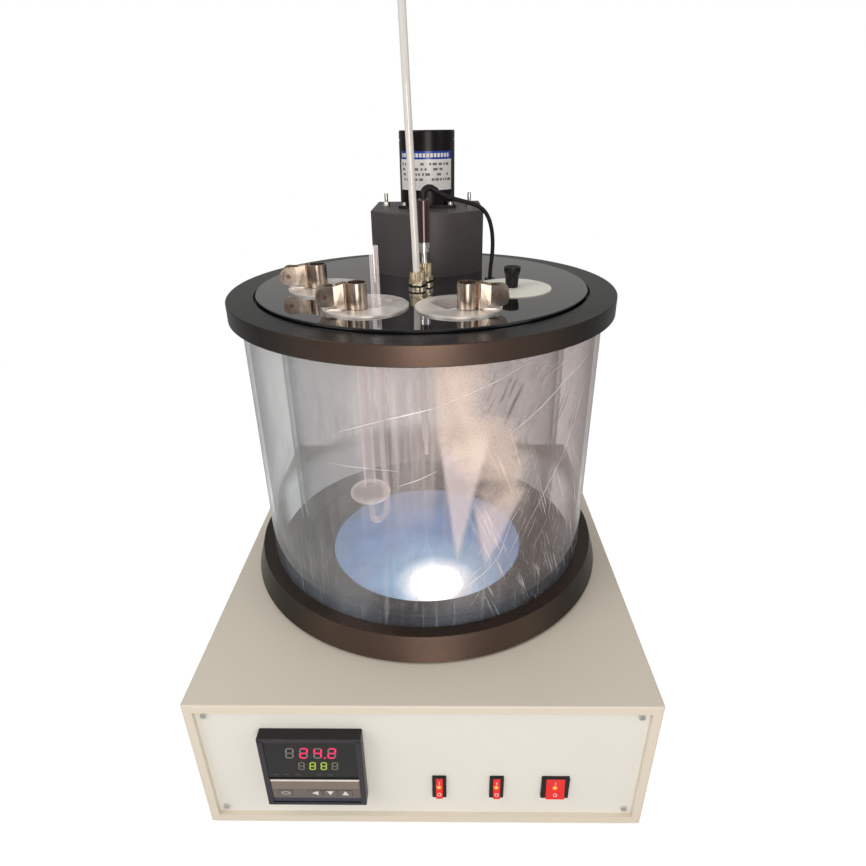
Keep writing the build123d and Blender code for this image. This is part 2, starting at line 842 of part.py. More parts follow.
# Three stainless plates: a disc on the lid with a spigot in its hole and a keyhole window
for n, (plate_x, plate_y) in plate_centres.items():
    with BuildPart() as plate:
        with BuildSketch(Plane.XY.offset(lid_top - spigot_depth)):
            with Locations((plate_x, plate_y)):
                Circle(spigot_radius)
        extrude(amount=spigot_depth)
        with BuildSketch(Plane.XY.offset(lid_top)):
            with Locations((plate_x, plate_y)):
                Circle(plate_radius)
        extrude(amount=plate_thickness)
        chamfer(plate.faces().sort_by(Axis.Z)[-1].edges(), plate_edge)
        with BuildSketch(Plane.XY.offset(lid_top - spigot_depth)):
            with Locations(Location((plate_x, plate_y), jaw_directions[n])):
                with Locations((-window_offset, 0)):
                    RectangleRounded(window_size, window_size, window_corner)
                SlotCenterToCenter(2 * jaw_offsets[n], 2 * (wide_arm_radius + 1))
        extrude(amount=spigot_depth + plate_thickness, mode=Mode.SUBTRACT)
    save(plate.part, f"plate_{n}")

# Clips: two formed leaves on an upright pin, each with a half-round jaw and a thumb tab
ear_step = ear_thickness + fit_gap
ear_levels = {-1: (ear_low, ear_high), 1: (ear_low + ear_step, ear_high - ear_step)}
pin_bore = pivot_pin_radius + slip_gap
tab_top = tab_rise + tab_height
jaw_crown = jaw_rise + jaw_height


def leaf(n, side):
    """One leaf of a clip. side says on which side of the tabs' line the leaf lies."""
    base = Plane(
        origin=(*jaw_axes[n], plate_top),
        x_dir=(cos(radians(clip_directions[n])), sin(radians(clip_directions[n])), 0),
        z_dir=(0, 0, 1),
    )
    with BuildPart() as formed:
        with BuildSketch(base.offset(jaw_rise)):
            Circle(jaw_outer_radius)
            Circle(jaw_inner_radius, mode=Mode.SUBTRACT)
            with Locations((0, -side * (jaw_outer_radius - seam_gap / 2))):
                Rectangle(4 * jaw_outer_radius, 2 * jaw_outer_radius, mode=Mode.SUBTRACT)
        extrude(amount=jaw_height)
        # Web and thumb tab, a strip that leaves the jaw and spreads behind the pin
        with BuildSketch(base.offset(jaw_rise)):
            with BuildLine():
                FilletPolyline(
                    (jaw_root, side * (seam_gap / 2 + jaw_sheet / 2)),
                    (pivot_reach - ear_half_width - web_flat, side * web_spread),
                    (pivot_reach + ear_half_width + web_flat, side * web_spread),
                    (tab_reach, side * tab_spread),
                    radius=web_bend,
                )
            trace(line_width=jaw_sheet)
        extrude(amount=jaw_height)
        # Side outline: as high as the jaw as far as the pin, then sloping to the round tab
        with BuildSketch(Plane(origin=base.origin, x_dir=base.x_dir, z_dir=-base.y_dir)) as outline:
            Polygon(
                (-2 * jaw_outer_radius, jaw_rise),
                (pivot_reach - ear_half_width, jaw_rise),
                (pivot_reach + ear_half_width, tab_rise),
                (tab_reach, tab_rise),
                (tab_reach, tab_top),
                (pivot_reach + ear_half_width, tab_top),
                (pivot_reach - ear_half_width, jaw_crown),
                (-2 * jaw_outer_radius, jaw_crown),
                align=None,
            )
            fillet(outline.vertices().filter_by(lambda v: at_tab_end(base, v)), tab_corner)
        extrude(amount=2 * tab_spread, both=True, mode=Mode.INTERSECT)
        # Two ears with the pin's holes
        for level in ear_levels[side]:
            with BuildSketch(base.offset(level)):
                with Locations((pivot_reach, 0)):
                    Circle(ear_half_width)
                with Locations((pivot_reach, side * web_spread / 2)):
                    Rectangle(2 * ear_half_width, web_spread)
                with Locations((pivot_reach, 0)):
                    Circle(pin_bore, mode=Mode.SUBTRACT)
            extrude(amount=ear_thickness)
    return formed.part


def at_tab_end(base, vertex):
    """True for the two corners at the free end of a tab's outline."""
    return base.to_local_coords(Vector(*vertex)).X > tab_reach - fit_gap


for n, front_side in front_sides.items():
    save(leaf(n, front_side), f"clip_{n}_front_leaf")
    save(leaf(n, -front_side), f"clip_{n}_back_leaf")

    clip_plane = Plane(
        origin=(*jaw_axes[n], plate_top),
        x_dir=(cos(radians(clip_directions[n])), sin(radians(clip_directions[n])), 0),
        z_dir=(0, 0, 1),
    )
    top_ear = ear_levels[-1][1] + ear_thickness
    with BuildPart() as bracket:
        with BuildSketch(clip_plane):
            with Locations((pivot_reach + bracket_shift, 0)):
                SlotCenterToCenter(2 * bracket_shift, bracket_width)
        extrude(amount=bracket_thickness)
        with BuildSketch(clip_plane.offset(bracket_thickness)):
            with Locations((pivot_reach, 0)):
                Circle(pivot_pin_radius + bracket_collar)
        extrude(amount=ear_levels[-1][0] - bracket_thickness - fit_gap)
        with BuildSketch(clip_plane):
            with Locations((pivot_reach, 0)):
                Circle(pivot_pin_radius)
        extrude(amount=top_ear + pin_head_height)
        with BuildSketch(clip_plane.offset(top_ear + fit_gap)):
            with Locations((pivot_reach, 0)):
                Circle(pivot_pin_radius + pin_head)
        extrude(amount=pin_head_height)
    save(bracket.part, f"clip_{n}_bracket")

    # Spring: close-wound coil between the inner ears
    coil_bottom = ear_levels[1][0] + ear_thickness + fit_gap
    coil_top = ear_levels[1][1] - fit_gap
    turn = (coil_top - coil_bottom) / spring_turns
    coil_plane = Plane(
        origin=clip_plane.from_local_coords(Vector(pivot_reach, 0, 0)),
        x_dir=clip_plane.x_dir,
        z_dir=-clip_plane.y_dir,
    )
    with BuildPart() as spring:
        with BuildSketch(coil_plane):
            with BuildLine():
                inner = pivot_pin_radius + fit_gap
                Polyline(
                    (spring_radius - spring_wire / 2, coil_bottom),
                    (inner, coil_bottom),
                    (inner, coil_top),
                    (spring_radius - spring_wire / 2, coil_top),
                )
                for turn_index in range(spring_turns):
                    low = coil_bottom + turn_index * turn
                    ThreePointArc(
                        (spring_radius - spring_wire / 2, low),
                        (spring_radius, low + turn / 2),
                        (spring_radius - spring_wire / 2, low + turn),
                    )
            make_face()
        revolve(axis=Axis(coil_plane.origin, (0, 0, 1)))
    save(spring.part, f"clip_{n}_spring")

# Viscometer: a wide arm with its reservoir, a U-bend, and a capillary arm with two bulbs
wide_x, wide_y = jaw_axes[2]
arm_dir = (cos(radians(arm_direction)), sin(radians(arm_direction)), 0)
arm_normal = (sin(radians(arm_direction)), -cos(radians(arm_direction)), 0)
glass_plane = Plane(origin=(wide_x, wide_y, 0), x_dir=arm_dir, z_dir=arm_normal)
wide_axis = Axis((wide_x, wide_y, 0), (0, 0, 1))
capillary_x = wide_x + arm_spacing * arm_dir[0]
capillary_y = wide_y + arm_spacing * arm_dir[1]
capillary_axis = Axis((capillary_x, capillary_y, 0), (0, 0, 1))
bend_radius = arm_spacing / 2
bend_z = u_tube_bottom + u_tube_radius + bend_radius
bulbs = (
    (0.0, reservoir_z, reservoir_radius, reservoir_half_height),
    (arm_spacing, timing_bulb_z, timing_bulb_radius, timing_bulb_half_height),
    (arm_spacing, upper_bulb_z, upper_bulb_radius, upper_bulb_half_height),
)


def half_bulb(reach, level, radius, half_height, mode):
    """Blown bulb: a half ellipse turned about its arm's axis."""
    axis = capillary_axis if reach else wide_axis
    with BuildSketch(glass_plane) as profile:
        with Locations((reach, level)):
            Ellipse(radius, half_height)
            with Locations((-radius, 0)):
                Rectangle(2 * radius, 4 * half_height, mode=Mode.SUBTRACT)
    revolve(profile.sketch, axis=axis, mode=mode)


def tube(reach, low, high, radius, mode):
    """Straight round length of an arm."""
    centre = (wide_x + reach * arm_dir[0], wide_y + reach * arm_dir[1])
    with BuildSketch(Plane.XY.offset(low)) as profile:
        with Locations(centre):
            Circle(radius)
    extrude(profile.sketch, amount=high - low, mode=mode)


def u_bend(start_level, end_level, radius, mode):
    """Bend from under the reservoir up to the capillary arm."""
    with BuildLine(glass_plane) as path:
        Line((0, start_level), (0, bend_z))
        ThreePointArc((0, bend_z), (bend_radius, bend_z - bend_radius), (arm_spacing, bend_z))
        Line((arm_spacing, bend_z), (arm_spacing, end_level))
    with BuildSketch(Plane(origin=path.wire() @ 0, z_dir=path.wire() % 0)) as profile:
        Circle(radius)
    sweep(profile.sketch, path=path.wire(), mode=mode)


capillary_low = reservoir_z + arm_spacing / 2
with BuildPart() as viscometer:
    for reach, level, radius, half_height in bulbs:
        half_bulb(reach, level, radius, half_height, Mode.ADD)
    tube(0, reservoir_z, wide_arm_top, wide_arm_radius, Mode.ADD)
    tube(arm_spacing, capillary_low, arm_top, capillary_arm_radius, Mode.ADD)
    u_bend(reservoir_z, capillary_low + bend_overlap, u_tube_radius, Mode.ADD)
    wall = wide_arm_wall
    for reach, level, radius, half_height in bulbs:
        half_bulb(reach, level, radius - wall, half_height - wall, Mode.SUBTRACT)
    tube(0, reservoir_z, wide_arm_top, wide_arm_radius - wall, Mode.SUBTRACT)
    tube(arm_spacing, timing_bulb_z, arm_top, neck_bore, Mode.SUBTRACT)
    tube(arm_spacing, capillary_low, timing_bulb_z, capillary_bore, Mode.SUBTRACT)
    u_bend(reservoir_z, capillary_low + 2 * bend_overlap, u_tube_bore, Mode.SUBTRACT)
save(viscometer.part, "viscometer")

# Rubber sleeve that the clip's jaws close on
with BuildPart() as viscometer_sleeve:
    with BuildSketch(Plane.XY.offset(plate_top + jaw_rise)):
        with Locations((wide_x, wide_y)):
            Circle(sleeve_outer_radius)
            Circle(wide_arm_radius + slip_gap, mode=Mode.SUBTRACT)
    extrude(amount=sleeve_height)
save(viscometer_sleeve.part, "viscometer_sleeve")

# Cover plate over the spare hole, with its knob
cover_x, cover_y = cover_centre
cover_top = lid_top + cover_thickness
with BuildPart() as cover_plate:
    with BuildSketch(Plane.XY.offset(lid_top - spigot_depth)):
        with Locations(cover_centre):
            Circle(spigot_radius)
            Circle(spigot_radius - cover_spigot_wall, mode=Mode.SUBTRACT)
    extrude(amount=spigot_depth)
    with BuildSketch(Plane.XY.offset(lid_top)):
        with Locations(cover_centre):
            Circle(plate_radius)
    extrude(amount=cover_thickness)
    fillet(cover_plate.faces().sort_by(Axis.Z)[-1].edges(), cover_edge)
save(cover_plate.part, "cover_plate")

dish_radius = ((knob_top_radius - knob_rim) ** 2 + knob_dish**2) / (2 * knob_dish)
dish_centre = knob_height - knob_dish + dish_radius
dish_angle = atan2(knob_top_radius - knob_rim, dish_radius - knob_dish)
with BuildPart() as cover_knob:
    knob_plane = Plane(origin=(cover_x, cover_y, cover_top), x_dir=(1, 0, 0), z_dir=(0, -1, 0))
    with BuildSketch(knob_plane):
        with BuildLine():
            Polyline(
                (0, 0),
                (knob_foot_radius, 0),
                (knob_waist, knob_height / 2),
                (knob_top_radius, knob_height - knob_top_radius / 2),
                (knob_top_radius, knob_height),
                (knob_top_radius - knob_rim, knob_height),
            )
            ThreePointArc(
                (knob_top_radius - knob_rim, knob_height),
                (dish_radius * sin(dish_angle / 2), dish_centre - dish_radius * cos(dish_angle / 2)),
                (0, knob_height - knob_dish),
            )
            Line((0, knob_height - knob_dish), (0, 0))
        make_face()
    revolve(axis=Axis((cover_x, cover_y, 0), (0, 0, 1)))
save(cover_knob.part, "cover_knob")

# Glands of the thermometer and the sensor, turned and knurled, each with a stem through the lid
gland_places = (
    (thermometer_x, thermometer_y, thermometer_radius + gland_bore_gap, 0),
    (sensor_x, sensor_y, probe_radius + fit_gap, sensor_gland_extra),
)
with BuildPart() as glands:
    for gland_x, gland_y, gland_bore, extra in gland_places:
        gland_height = gland_flange + gland_lower + gland_ring + gland_upper + extra
        level = lid_top
        with BuildSketch(Plane.XY.offset(lid_bottom)):
            with Locations((gland_x, gland_y)):
                Circle(gland_stem_radius)
        extrude(amount=lid_thickness)
        with BuildSketch(Plane.XY.offset(level)):
            with Locations((gland_x, gland_y)):
                Circle(gland_radius)
        extrude(amount=gland_flange)
        level += gland_flange
        with BuildSketch(Plane.XY.offset(level)):
            with Locations((gland_x, gland_y)):
                RegularPolygon(gland_hex, 6, major_radius=False)
        extrude(amount=gland_lower)
        level += gland_lower
        with BuildSketch(Plane.XY.offset(level)):
            with Locations((gland_x, gland_y)):
                Circle(gland_radius - gland_ring_inset)
        extrude(amount=gland_ring)
        level += gland_ring
        with BuildSketch(Plane.XY.offset(level)):
            with Locations((gland_x, gland_y)):
                RegularPolygon(gland_nut, gland_nut_sides)
        extrude(amount=gland_upper + extra)
        with BuildSketch(Plane.XY.offset(lid_bottom)):
            with Locations((gland_x, gland_y)):
                Circle(gland_bore)
        extrude(amount=lid_thickness + gland_height, mode=Mode.SUBTRACT)
save(glands.part, "glands")

# Thermometer: glass rod that leans a little in its gland
lean = Axis((thermometer_x, thermometer_y, lid_top), (0, 1, 0))
rod_plane = Plane(origin=(thermometer_x, thermometer_y, 0), x_dir=(1, 0, 0), z_dir=(0, -1, 0))
bulb_top = thermometer_tip_z + thermometer_bulb_length
rod_top = thermometer_tip_z + thermometer_length
diagonal = cos(pi / 4)
tip_rise = thermometer_bulb_radius * (1 - diagonal)
with BuildPart() as thermometer:
    with BuildSketch(rod_plane):
        with BuildLine():
            ThreePointArc(
                (0, thermometer_tip_z),
                (thermometer_bulb_radius * diagonal, thermometer_tip_z + tip_rise),
                (thermometer_bulb_radius, thermometer_tip_z + thermometer_bulb_radius),
            )
            Polyline(
                (thermometer_bulb_radius, thermometer_tip_z + thermometer_bulb_radius),
                (thermometer_bulb_radius, bulb_top - 2),
                (thermometer_radius, bulb_top + 2),
                (thermometer_radius, rod_top - thermometer_radius),
            )
            ThreePointArc(
                (thermometer_radius, rod_top - thermometer_radius),
                (thermometer_radius * diagonal, rod_top - thermometer_radius * (1 - diagonal)),
                (0, rod_top),
            )
            Line((0, rod_top), (0, thermometer_tip_z))
        make_face()
    revolve(axis=Axis((thermometer_x, thermometer_y, 0), (0, 0, 1)))
save(thermometer.part.rotate(lean, thermometer_lean), "thermometer")

# Sensor: metal probe with its ferrule, a moulded handle and a bent boot
sensor_plane = Plane(origin=(sensor_x, sensor_y, 0), x_dir=(1, 0, 0), z_dir=(0, -1, 0))
handle_z = ferrule_z + ferrule_height
handle_top = handle_z + handle_height
with BuildPart() as sensor_probe:
    with BuildSketch(sensor_plane):
        with BuildLine():
            Polyline(
                (0, probe_tip_z),
                (probe_radius - probe_edge, probe_tip_z),
                (probe_radius, probe_tip_z + probe_edge),
                (probe_radius, ferrule_z),
                (ferrule_radius - ferrule_step, ferrule_z),
                (ferrule_radius - ferrule_step, ferrule_z + ferrule_collar),
                (ferrule_radius - ferrule_neck, ferrule_z + ferrule_collar),
                (ferrule_radius - ferrule_neck, ferrule_z + ferrule_neck_top),
                (ferrule_radius, ferrule_z + ferrule_neck_top),
                (ferrule_radius, handle_z),
                (0, handle_z),
                close=True,
            )
        make_face()
    revolve(axis=Axis((sensor_x, sensor_y, 0), (0, 0, 1)))
save(sensor_probe.part, "sensor_probe")

with BuildPart() as sensor_handle:
    with BuildSketch(Plane.XY.offset(handle_z)):
        with Locations((sensor_x, sensor_y)):
            Circle(handle_radius)
    extrude(amount=handle_height)
    fillet(sensor_handle.faces().sort_by(Axis.Z)[-1].edges(), handle_edge)
save(sensor_handle.part, "sensor_handle")

heading = (cos(radians(boot_heading)), sin(radians(boot_heading)), 0)
boot_plane = Plane(
    origin=(sensor_x, sensor_y, handle_top),
    x_dir=heading,
    z_dir=(sin(radians(boot_heading)), -cos(radians(boot_heading)), 0),
)
boot_exit_x = boot_bend * (1 - cos(radians(boot_turn)))
boot_exit_z = boot_rise + boot_bend * sin(radians(boot_turn))
boot_end_x = boot_exit_x + boot_tail * sin(radians(boot_turn))
boot_end_z = boot_exit_z + boot_tail * cos(radians(boot_turn))
with BuildPart() as sensor_boot:
    with BuildLine(boot_plane) as boot_path:
        Line((0, 0), (0, boot_rise))
        ThreePointArc(
            (0, boot_rise),
            (
                boot_bend * (1 - cos(radians(boot_turn / 2))),
                boot_rise + boot_bend * sin(radians(boot_turn / 2)),
            ),
            (boot_exit_x, boot_exit_z),
        )
        Line((boot_exit_x, boot_exit_z), (boot_end_x, boot_end_z))
    with BuildSketch(Plane(origin=boot_path.wire() @ 0, z_dir=boot_path.wire() % 0)):
        Circle(boot_radius)
    sweep(path=boot_path.wire())
save(sensor_boot.part, "sensor_boot")

# Sensor cable: from the boot over the lid and down through its grommet
boot_end = boot_plane.from_local_coords(Vector(boot_end_x, boot_end_z, 0))
cable_lead = boot_plane.from_local_coords(
    Vector(
        boot_end_x + cable_lead_length * sin(radians(boot_turn)),
        boot_end_z + cable_lead_length * cos(radians(boot_turn)),
        0,
    )
)
cable_points = [
    (boot_end.X, boot_end.Y, boot_end.Z),
    (cable_lead.X, cable_lead.Y, cable_lead.Z),
    *((bend_x, bend_y, lid_top + rise) for bend_x, bend_y, rise in cable_bends),
    (cable_x, cable_y, lid_bottom + 1),
]


def cable_radii(points):
    """Largest arc at each corner that its two runs allow."""
    radii = []
    for before, here, after in zip(points, points[1:], points[2:]):
        run_in = Vector(*here) - Vector(*before)
        run_out = Vector(*after) - Vector(*here)
        turn_angle = radians(run_in.get_angle(run_out))
        radii.append(cable_corner_share * min(run_in.length, run_out.length) / tan(turn_angle / 2))
    return radii


bend_radii = cable_radii(cable_points)
print("cable bend radii", [round(value, 1) for value in bend_radii])
with BuildPart() as sensor_cable:
    with BuildLine() as cable_path:
        FilletPolyline(*cable_points, radius=bend_radii)
    with BuildSketch(Plane(origin=cable_path.wire() @ 0, z_dir=cable_path.wire() % 0)):
        Circle(cable_radius)
    sweep(path=cable_path.wire())
cable_length = cable_path.wire().length
cable_volume = pi * cable_radius**2 * cable_length
print("cable length", round(cable_length, 1), "ratio", round(sensor_cable.part.volume / cable_volume, 4))
save(sensor_cable.part, "sensor_cable")

# Motor housing: rolled sheet can with a bowed front, open below
with BuildPart() as motor_housing:
    with BuildSketch(Plane.XY.offset(lid_top)):
        with BuildLine():
            ThreePointArc(
                (drive_x - housing_half_width, housing_corner),
                (drive_x, housing_front),
                (drive_x + housing_half_width, housing_corner),
            )
            Polyline(
                (drive_x + housing_half_width, housing_corner),
                (drive_x + housing_half_width, housing_back),
                (drive_x - housing_half_width, housing_back),
                (drive_x - housing_half_width, housing_corner),
            )
        make_face()
    extrude(amount=housing_height)
    fillet(motor_housing.faces().sort_by(Axis.Z)[-1].edges(), housing_edge)
    offset(amount=-housing_wall, openings=motor_housing.faces().sort_by(Axis.Z)[0])
    with BuildSketch(Plane.XY.offset(motor_seat - housing_wall)):
        with Locations((drive_x, drive_y)):
            Circle(motor_boss_radius + fit_gap)
            with GridLocations(motor_screw_spacing, motor_screw_spacing, 2, 2):
                Circle(motor_screw_radius + slip_gap)
        with Locations(*stud_places):
            Circle(stud_radius + slip_gap)
    extrude(amount=housing_wall, mode=Mode.SUBTRACT)
save(motor_housing.part, "motor_housing")

# Two long studs with nuts that hold the housing down, and the four screws of the motor
stud_bottom = lid_bottom
stud_top = motor_seat + stud_stand
with BuildPart() as housing_studs:
    with BuildSketch(Plane.XY.offset(stud_bottom)):
        with Locations(*stud_places):
            Circle(stud_radius)
    extrude(amount=stud_top - stud_bottom)
    with BuildSketch(Plane.XY.offset(motor_seat)):
        with Locations(*stud_places):
            Circle(nut_radius + washer_lip)
    extrude(amount=washer_thickness)
    with BuildSketch(Plane.XY.offset(motor_seat + washer_thickness)):
        with Locations(*stud_places):
            RegularPolygon(nut_radius, 6)
    extrude(amount=nut_height)
save(housing_studs.part, "housing_studs")

flange_top = motor_seat + flange_thickness
with BuildPart() as motor_screws:
    with BuildSketch(Plane.XY.offset(motor_seat - housing_wall - motor_screw_end)):
        with Locations((drive_x, drive_y)):
            with GridLocations(motor_screw_spacing, motor_screw_spacing, 2, 2):
                Circle(motor_screw_radius)
    extrude(amount=flange_thickness + housing_wall + motor_screw_end)
    with BuildSketch(Plane.XY.offset(flange_top)):
        with Locations((drive_x, drive_y)):
            with GridLocations(motor_screw_spacing, motor_screw_spacing, 2, 2):
                Circle(screw_head_radius)
    extrude(amount=motor_screw_head)
save(motor_screws.part, "motor_screws")

# Motor: square flange, round can and a pressed cap behind a groove
cap_z = motor_top - motor_cap_height
with BuildPart() as motor:
    with BuildSketch(Plane.XY.offset(motor_seat)):
        with Locations((drive_x, drive_y)):
            RectangleRounded(flange_size, flange_size, flange_corner)
            with GridLocations(motor_screw_spacing, motor_screw_spacing, 2, 2):
                Circle(motor_screw_radius + slip_gap, mode=Mode.SUBTRACT)
    extrude(amount=flange_thickness)
    with BuildSketch(Plane.XY.offset(flange_top)):
        with Locations((drive_x, drive_y)):
            Circle(motor_radius)
            with GridLocations(motor_screw_spacing, motor_screw_spacing, 2, 2):
                Circle(screw_head_radius + fit_gap, mode=Mode.SUBTRACT)
    extrude(amount=motor_top - flange_top)
    fillet(motor.faces().sort_by(Axis.Z)[-1].edges(), motor_edge)
    with BuildSketch(Plane.XY.offset(cap_z - motor_groove)):
        with Locations((drive_x, drive_y)):
            Circle(motor_radius + 2)
            Circle(motor_radius - motor_groove, mode=Mode.SUBTRACT)
    extrude(amount=motor_groove, mode=Mode.SUBTRACT)
    with BuildSketch(Plane.XY.offset(motor_seat)):
        with Locations((drive_x, drive_y)):
            Circle(motor_boss_radius)
    extrude(amount=-motor_boss_height)
    with BuildSketch(Plane.XY.offset(motor_seat - motor_boss_height)):
        with Locations((drive_x, drive_y)):
            Circle(shaft_neck_radius + slip_gap / 2)
    extrude(amount=motor_boss_height + shaft_entry + 1, mode=Mode.SUBTRACT)
save(motor.part, "motor")

# Stirrer shaft with its coupling, and the propeller on its end
with BuildPart() as stirrer_shaft:
    with BuildSketch(Plane.XY.offset(shaft_bottom)):
        with Locations((drive_x, drive_y)):
            Circle(shaft_radius)
    extrude(amount=coupling_z - shaft_bottom)
    with BuildSketch(Plane.XY.offset(coupling_z)):
        with Locations((drive_x, drive_y)):
            Circle(coupling_radius)
    extrude(amount=coupling_height)
    with BuildSketch(Plane.XY.offset(coupling_z + coupling_height)):
        with Locations((drive_x, drive_y)):
            Circle(shaft_neck_radius)
    extrude(amount=motor_seat + shaft_entry - coupling_z - coupling_height)
save(stirrer_shaft.part, "stirrer_shaft")

hub_z = shaft_bottom
with BuildPart() as propeller:
    with BuildSketch(Plane.XY.offset(hub_z)):
        with Locations((drive_x, drive_y)):
            Circle(hub_radius)
    extrude(amount=hub_height)
    for blade_index in range(blade_count):
        spoke = radians(360 / blade_count * blade_index)
        outwards = Vector(cos(spoke), sin(spoke), 0)
        across = Vector(-sin(spoke), cos(spoke), 0)
        tilt = across * cos(radians(blade_pitch)) + Vector(0, 0, 1) * sin(radians(blade_pitch))
        root = Vector(drive_x, drive_y, hub_z + hub_height / 2) + outwards * (hub_radius - 1)
        blade_plane = Plane(origin=root, x_dir=outwards, z_dir=outwards.cross(tilt))
        with BuildSketch(blade_plane):
            blade_length = blade_radius - hub_radius + 1
            with Locations((blade_length / 2, 0)):
                RectangleRounded(blade_length, blade_width, blade_corner)
        extrude(amount=blade_thickness / 2, both=True)
    with BuildSketch(Plane.XY.offset(hub_z)):
        with Locations((drive_x, drive_y)):
            Circle(shaft_radius + slip_gap / 2)
    extrude(amount=hub_height, mode=Mode.SUBTRACT)
save(propeller.part, "propeller")

# Heater: a sheathed element bent to a ring round the stirrer, on two risers

def ring_point(angle):
    return Vector(
        drive_x + heater_ring_radius * cos(angle), drive_y + heater_ring_radius * sin(angle), heater_z
    )


def ring_tangent(angle):
    return Vector(-sin(angle), cos(angle), 0)


start_angle = pi / 2 + opening_half
end_angle = pi / 2 - opening_half
start_riser = ring_point(start_angle) - ring_tangent(start_angle) * heater_bend
end_riser = ring_point(end_angle) + ring_tangent(end_angle) * heater_bend
start_elbow = start_riser + ring_tangent(start_angle) * heater_bend * (1 - diagonal)
end_elbow = end_riser - ring_tangent(end_angle) * heater_bend * (1 - diagonal)
lift = Vector(0, 0, 1)
with BuildPart() as heater:
    with BuildLine() as heater_path:
        Line(start_riser + lift * (heater_top - heater_z), start_riser + lift * heater_bend)
        ThreePointArc(
            start_riser + lift * heater_bend,
            start_elbow + lift * heater_bend * (1 - diagonal),
            ring_point(start_angle),
        )
        ThreePointArc(ring_point(start_angle), ring_point(-pi / 2), ring_point(end_angle))
        ThreePointArc(
            ring_point(end_angle),
            end_elbow + lift * heater_bend * (1 - diagonal),
            end_riser + lift * heater_bend,
        )
        Line(end_riser + lift * heater_bend, end_riser + lift * (heater_top - heater_z))
    with BuildSketch(Plane(origin=heater_path.wire() @ 0, z_dir=heater_path.wire() % 0)):
        Circle(heater_tube_radius)
    sweep(path=heater_path.wire())
save(heater.part, "heater")
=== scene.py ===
import math
import random

import bpy
from mathutils import Matrix, Vector


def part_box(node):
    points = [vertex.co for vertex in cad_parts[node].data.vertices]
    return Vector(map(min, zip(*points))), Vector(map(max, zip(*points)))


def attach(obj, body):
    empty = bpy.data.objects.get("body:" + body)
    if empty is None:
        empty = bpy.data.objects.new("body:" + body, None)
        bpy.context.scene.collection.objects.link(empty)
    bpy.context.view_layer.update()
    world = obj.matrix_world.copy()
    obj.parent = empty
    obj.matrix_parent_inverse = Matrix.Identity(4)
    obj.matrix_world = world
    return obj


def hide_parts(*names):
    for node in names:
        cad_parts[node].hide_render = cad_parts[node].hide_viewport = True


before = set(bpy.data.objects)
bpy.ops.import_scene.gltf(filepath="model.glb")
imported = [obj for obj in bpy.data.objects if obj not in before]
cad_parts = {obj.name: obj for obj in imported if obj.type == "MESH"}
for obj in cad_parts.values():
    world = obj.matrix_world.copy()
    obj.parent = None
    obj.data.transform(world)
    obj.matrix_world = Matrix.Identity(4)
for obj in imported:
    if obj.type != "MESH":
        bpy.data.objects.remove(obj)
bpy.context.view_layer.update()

scene = bpy.context.scene
MM = 0.001

# Places that the model shares with the frame, in millimetres
CASE_TOP = 178.0
LID_TOP = 497.5
PLATE_TOP = 499.5
PIVOT_Y = -245.0
SWITCH_Z = 61.0
SWITCHES = {"control": 15.6, "light": 71.5, "power": 128.5}
KEYS = ("set_key", "shift_key", "down_key", "up_key")
LAMP = (13.0, -83.0)
DRIVE = (5.0, 102.0)
THERMOMETER = (-3.4, -24.0)
SENSOR = (3.2, -5.0)
WALL_RADIUS = 181.9
DISPLAY_RISE = 17.4


def middle(node):
    """Middle of a CAD node, in millimetres."""
    low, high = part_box(node)
    return [(a + b) / 2 / MM for a, b in zip(low, high)]


CONTROLLER_X = middle("display_window")[0]
CONTROLLER_Z = middle("display_window")[2] - DISPLAY_RISE
BEZEL_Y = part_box("controller")[0][1] / MM


# Materials

def new_material(name):
    material = bpy.data.materials.new(name)
    material.use_nodes = True
    tree = material.node_tree
    tree.nodes.clear()
    output = tree.nodes.new("ShaderNodeOutputMaterial")
    return material, tree, output


def add(tree, kind, **values):
    node = tree.nodes.new(kind)
    for key, value in values.items():
        if key in node.inputs.keys():
            node.inputs[key].default_value = value
        else:
            setattr(node, key, value)
    return node


def noise_at(tree, vector, scale, detail, roughness):
    texture = add(tree, "ShaderNodeTexNoise", Scale=scale, Detail=detail, Roughness=roughness)
    tree.links.new(vector, texture.inputs["Vector"])
    return texture.outputs["Fac"]


def noise(tree, scale, detail=4.0, stretch=(1.0, 1.0, 1.0)):
    """Noise in the object's own coordinates, stretched by a mapping."""
    place = tree.nodes.new("ShaderNodeTexCoord")
    mapping = tree.nodes.new("ShaderNodeMapping")
    mapping.inputs["Scale"].default_value = stretch
    tree.links.new(place.outputs["Object"], mapping.inputs["Vector"])
    return noise_at(tree, mapping.outputs["Vector"], scale, detail, 0.5)


def ramp(tree, source, stops):
    """Colour ramp from (position, colour) stops."""
    node = tree.nodes.new("ShaderNodeValToRGB")
    elements = node.color_ramp.elements
    while len(elements) < len(stops):
        elements.new(0.5)
    for element, (position, colour) in zip(elements, stops):
        element.position = position
        element.color = colour if len(colour) == 4 else (*colour, 1.0)
    tree.links.new(source, node.inputs["Fac"])
    return node.outputs["Color"]


def math_node(tree, operation, first, second=None, third=None):
    node = tree.nodes.new("ShaderNodeMath")
    node.operation = operation
    for socket, value in zip(node.inputs, (first, second, third)):
        if value is None:
            continue
        if isinstance(value, (int, float)):
            socket.default_value = value
        else:
            tree.links.new(value, socket)
    return node.outputs[0]


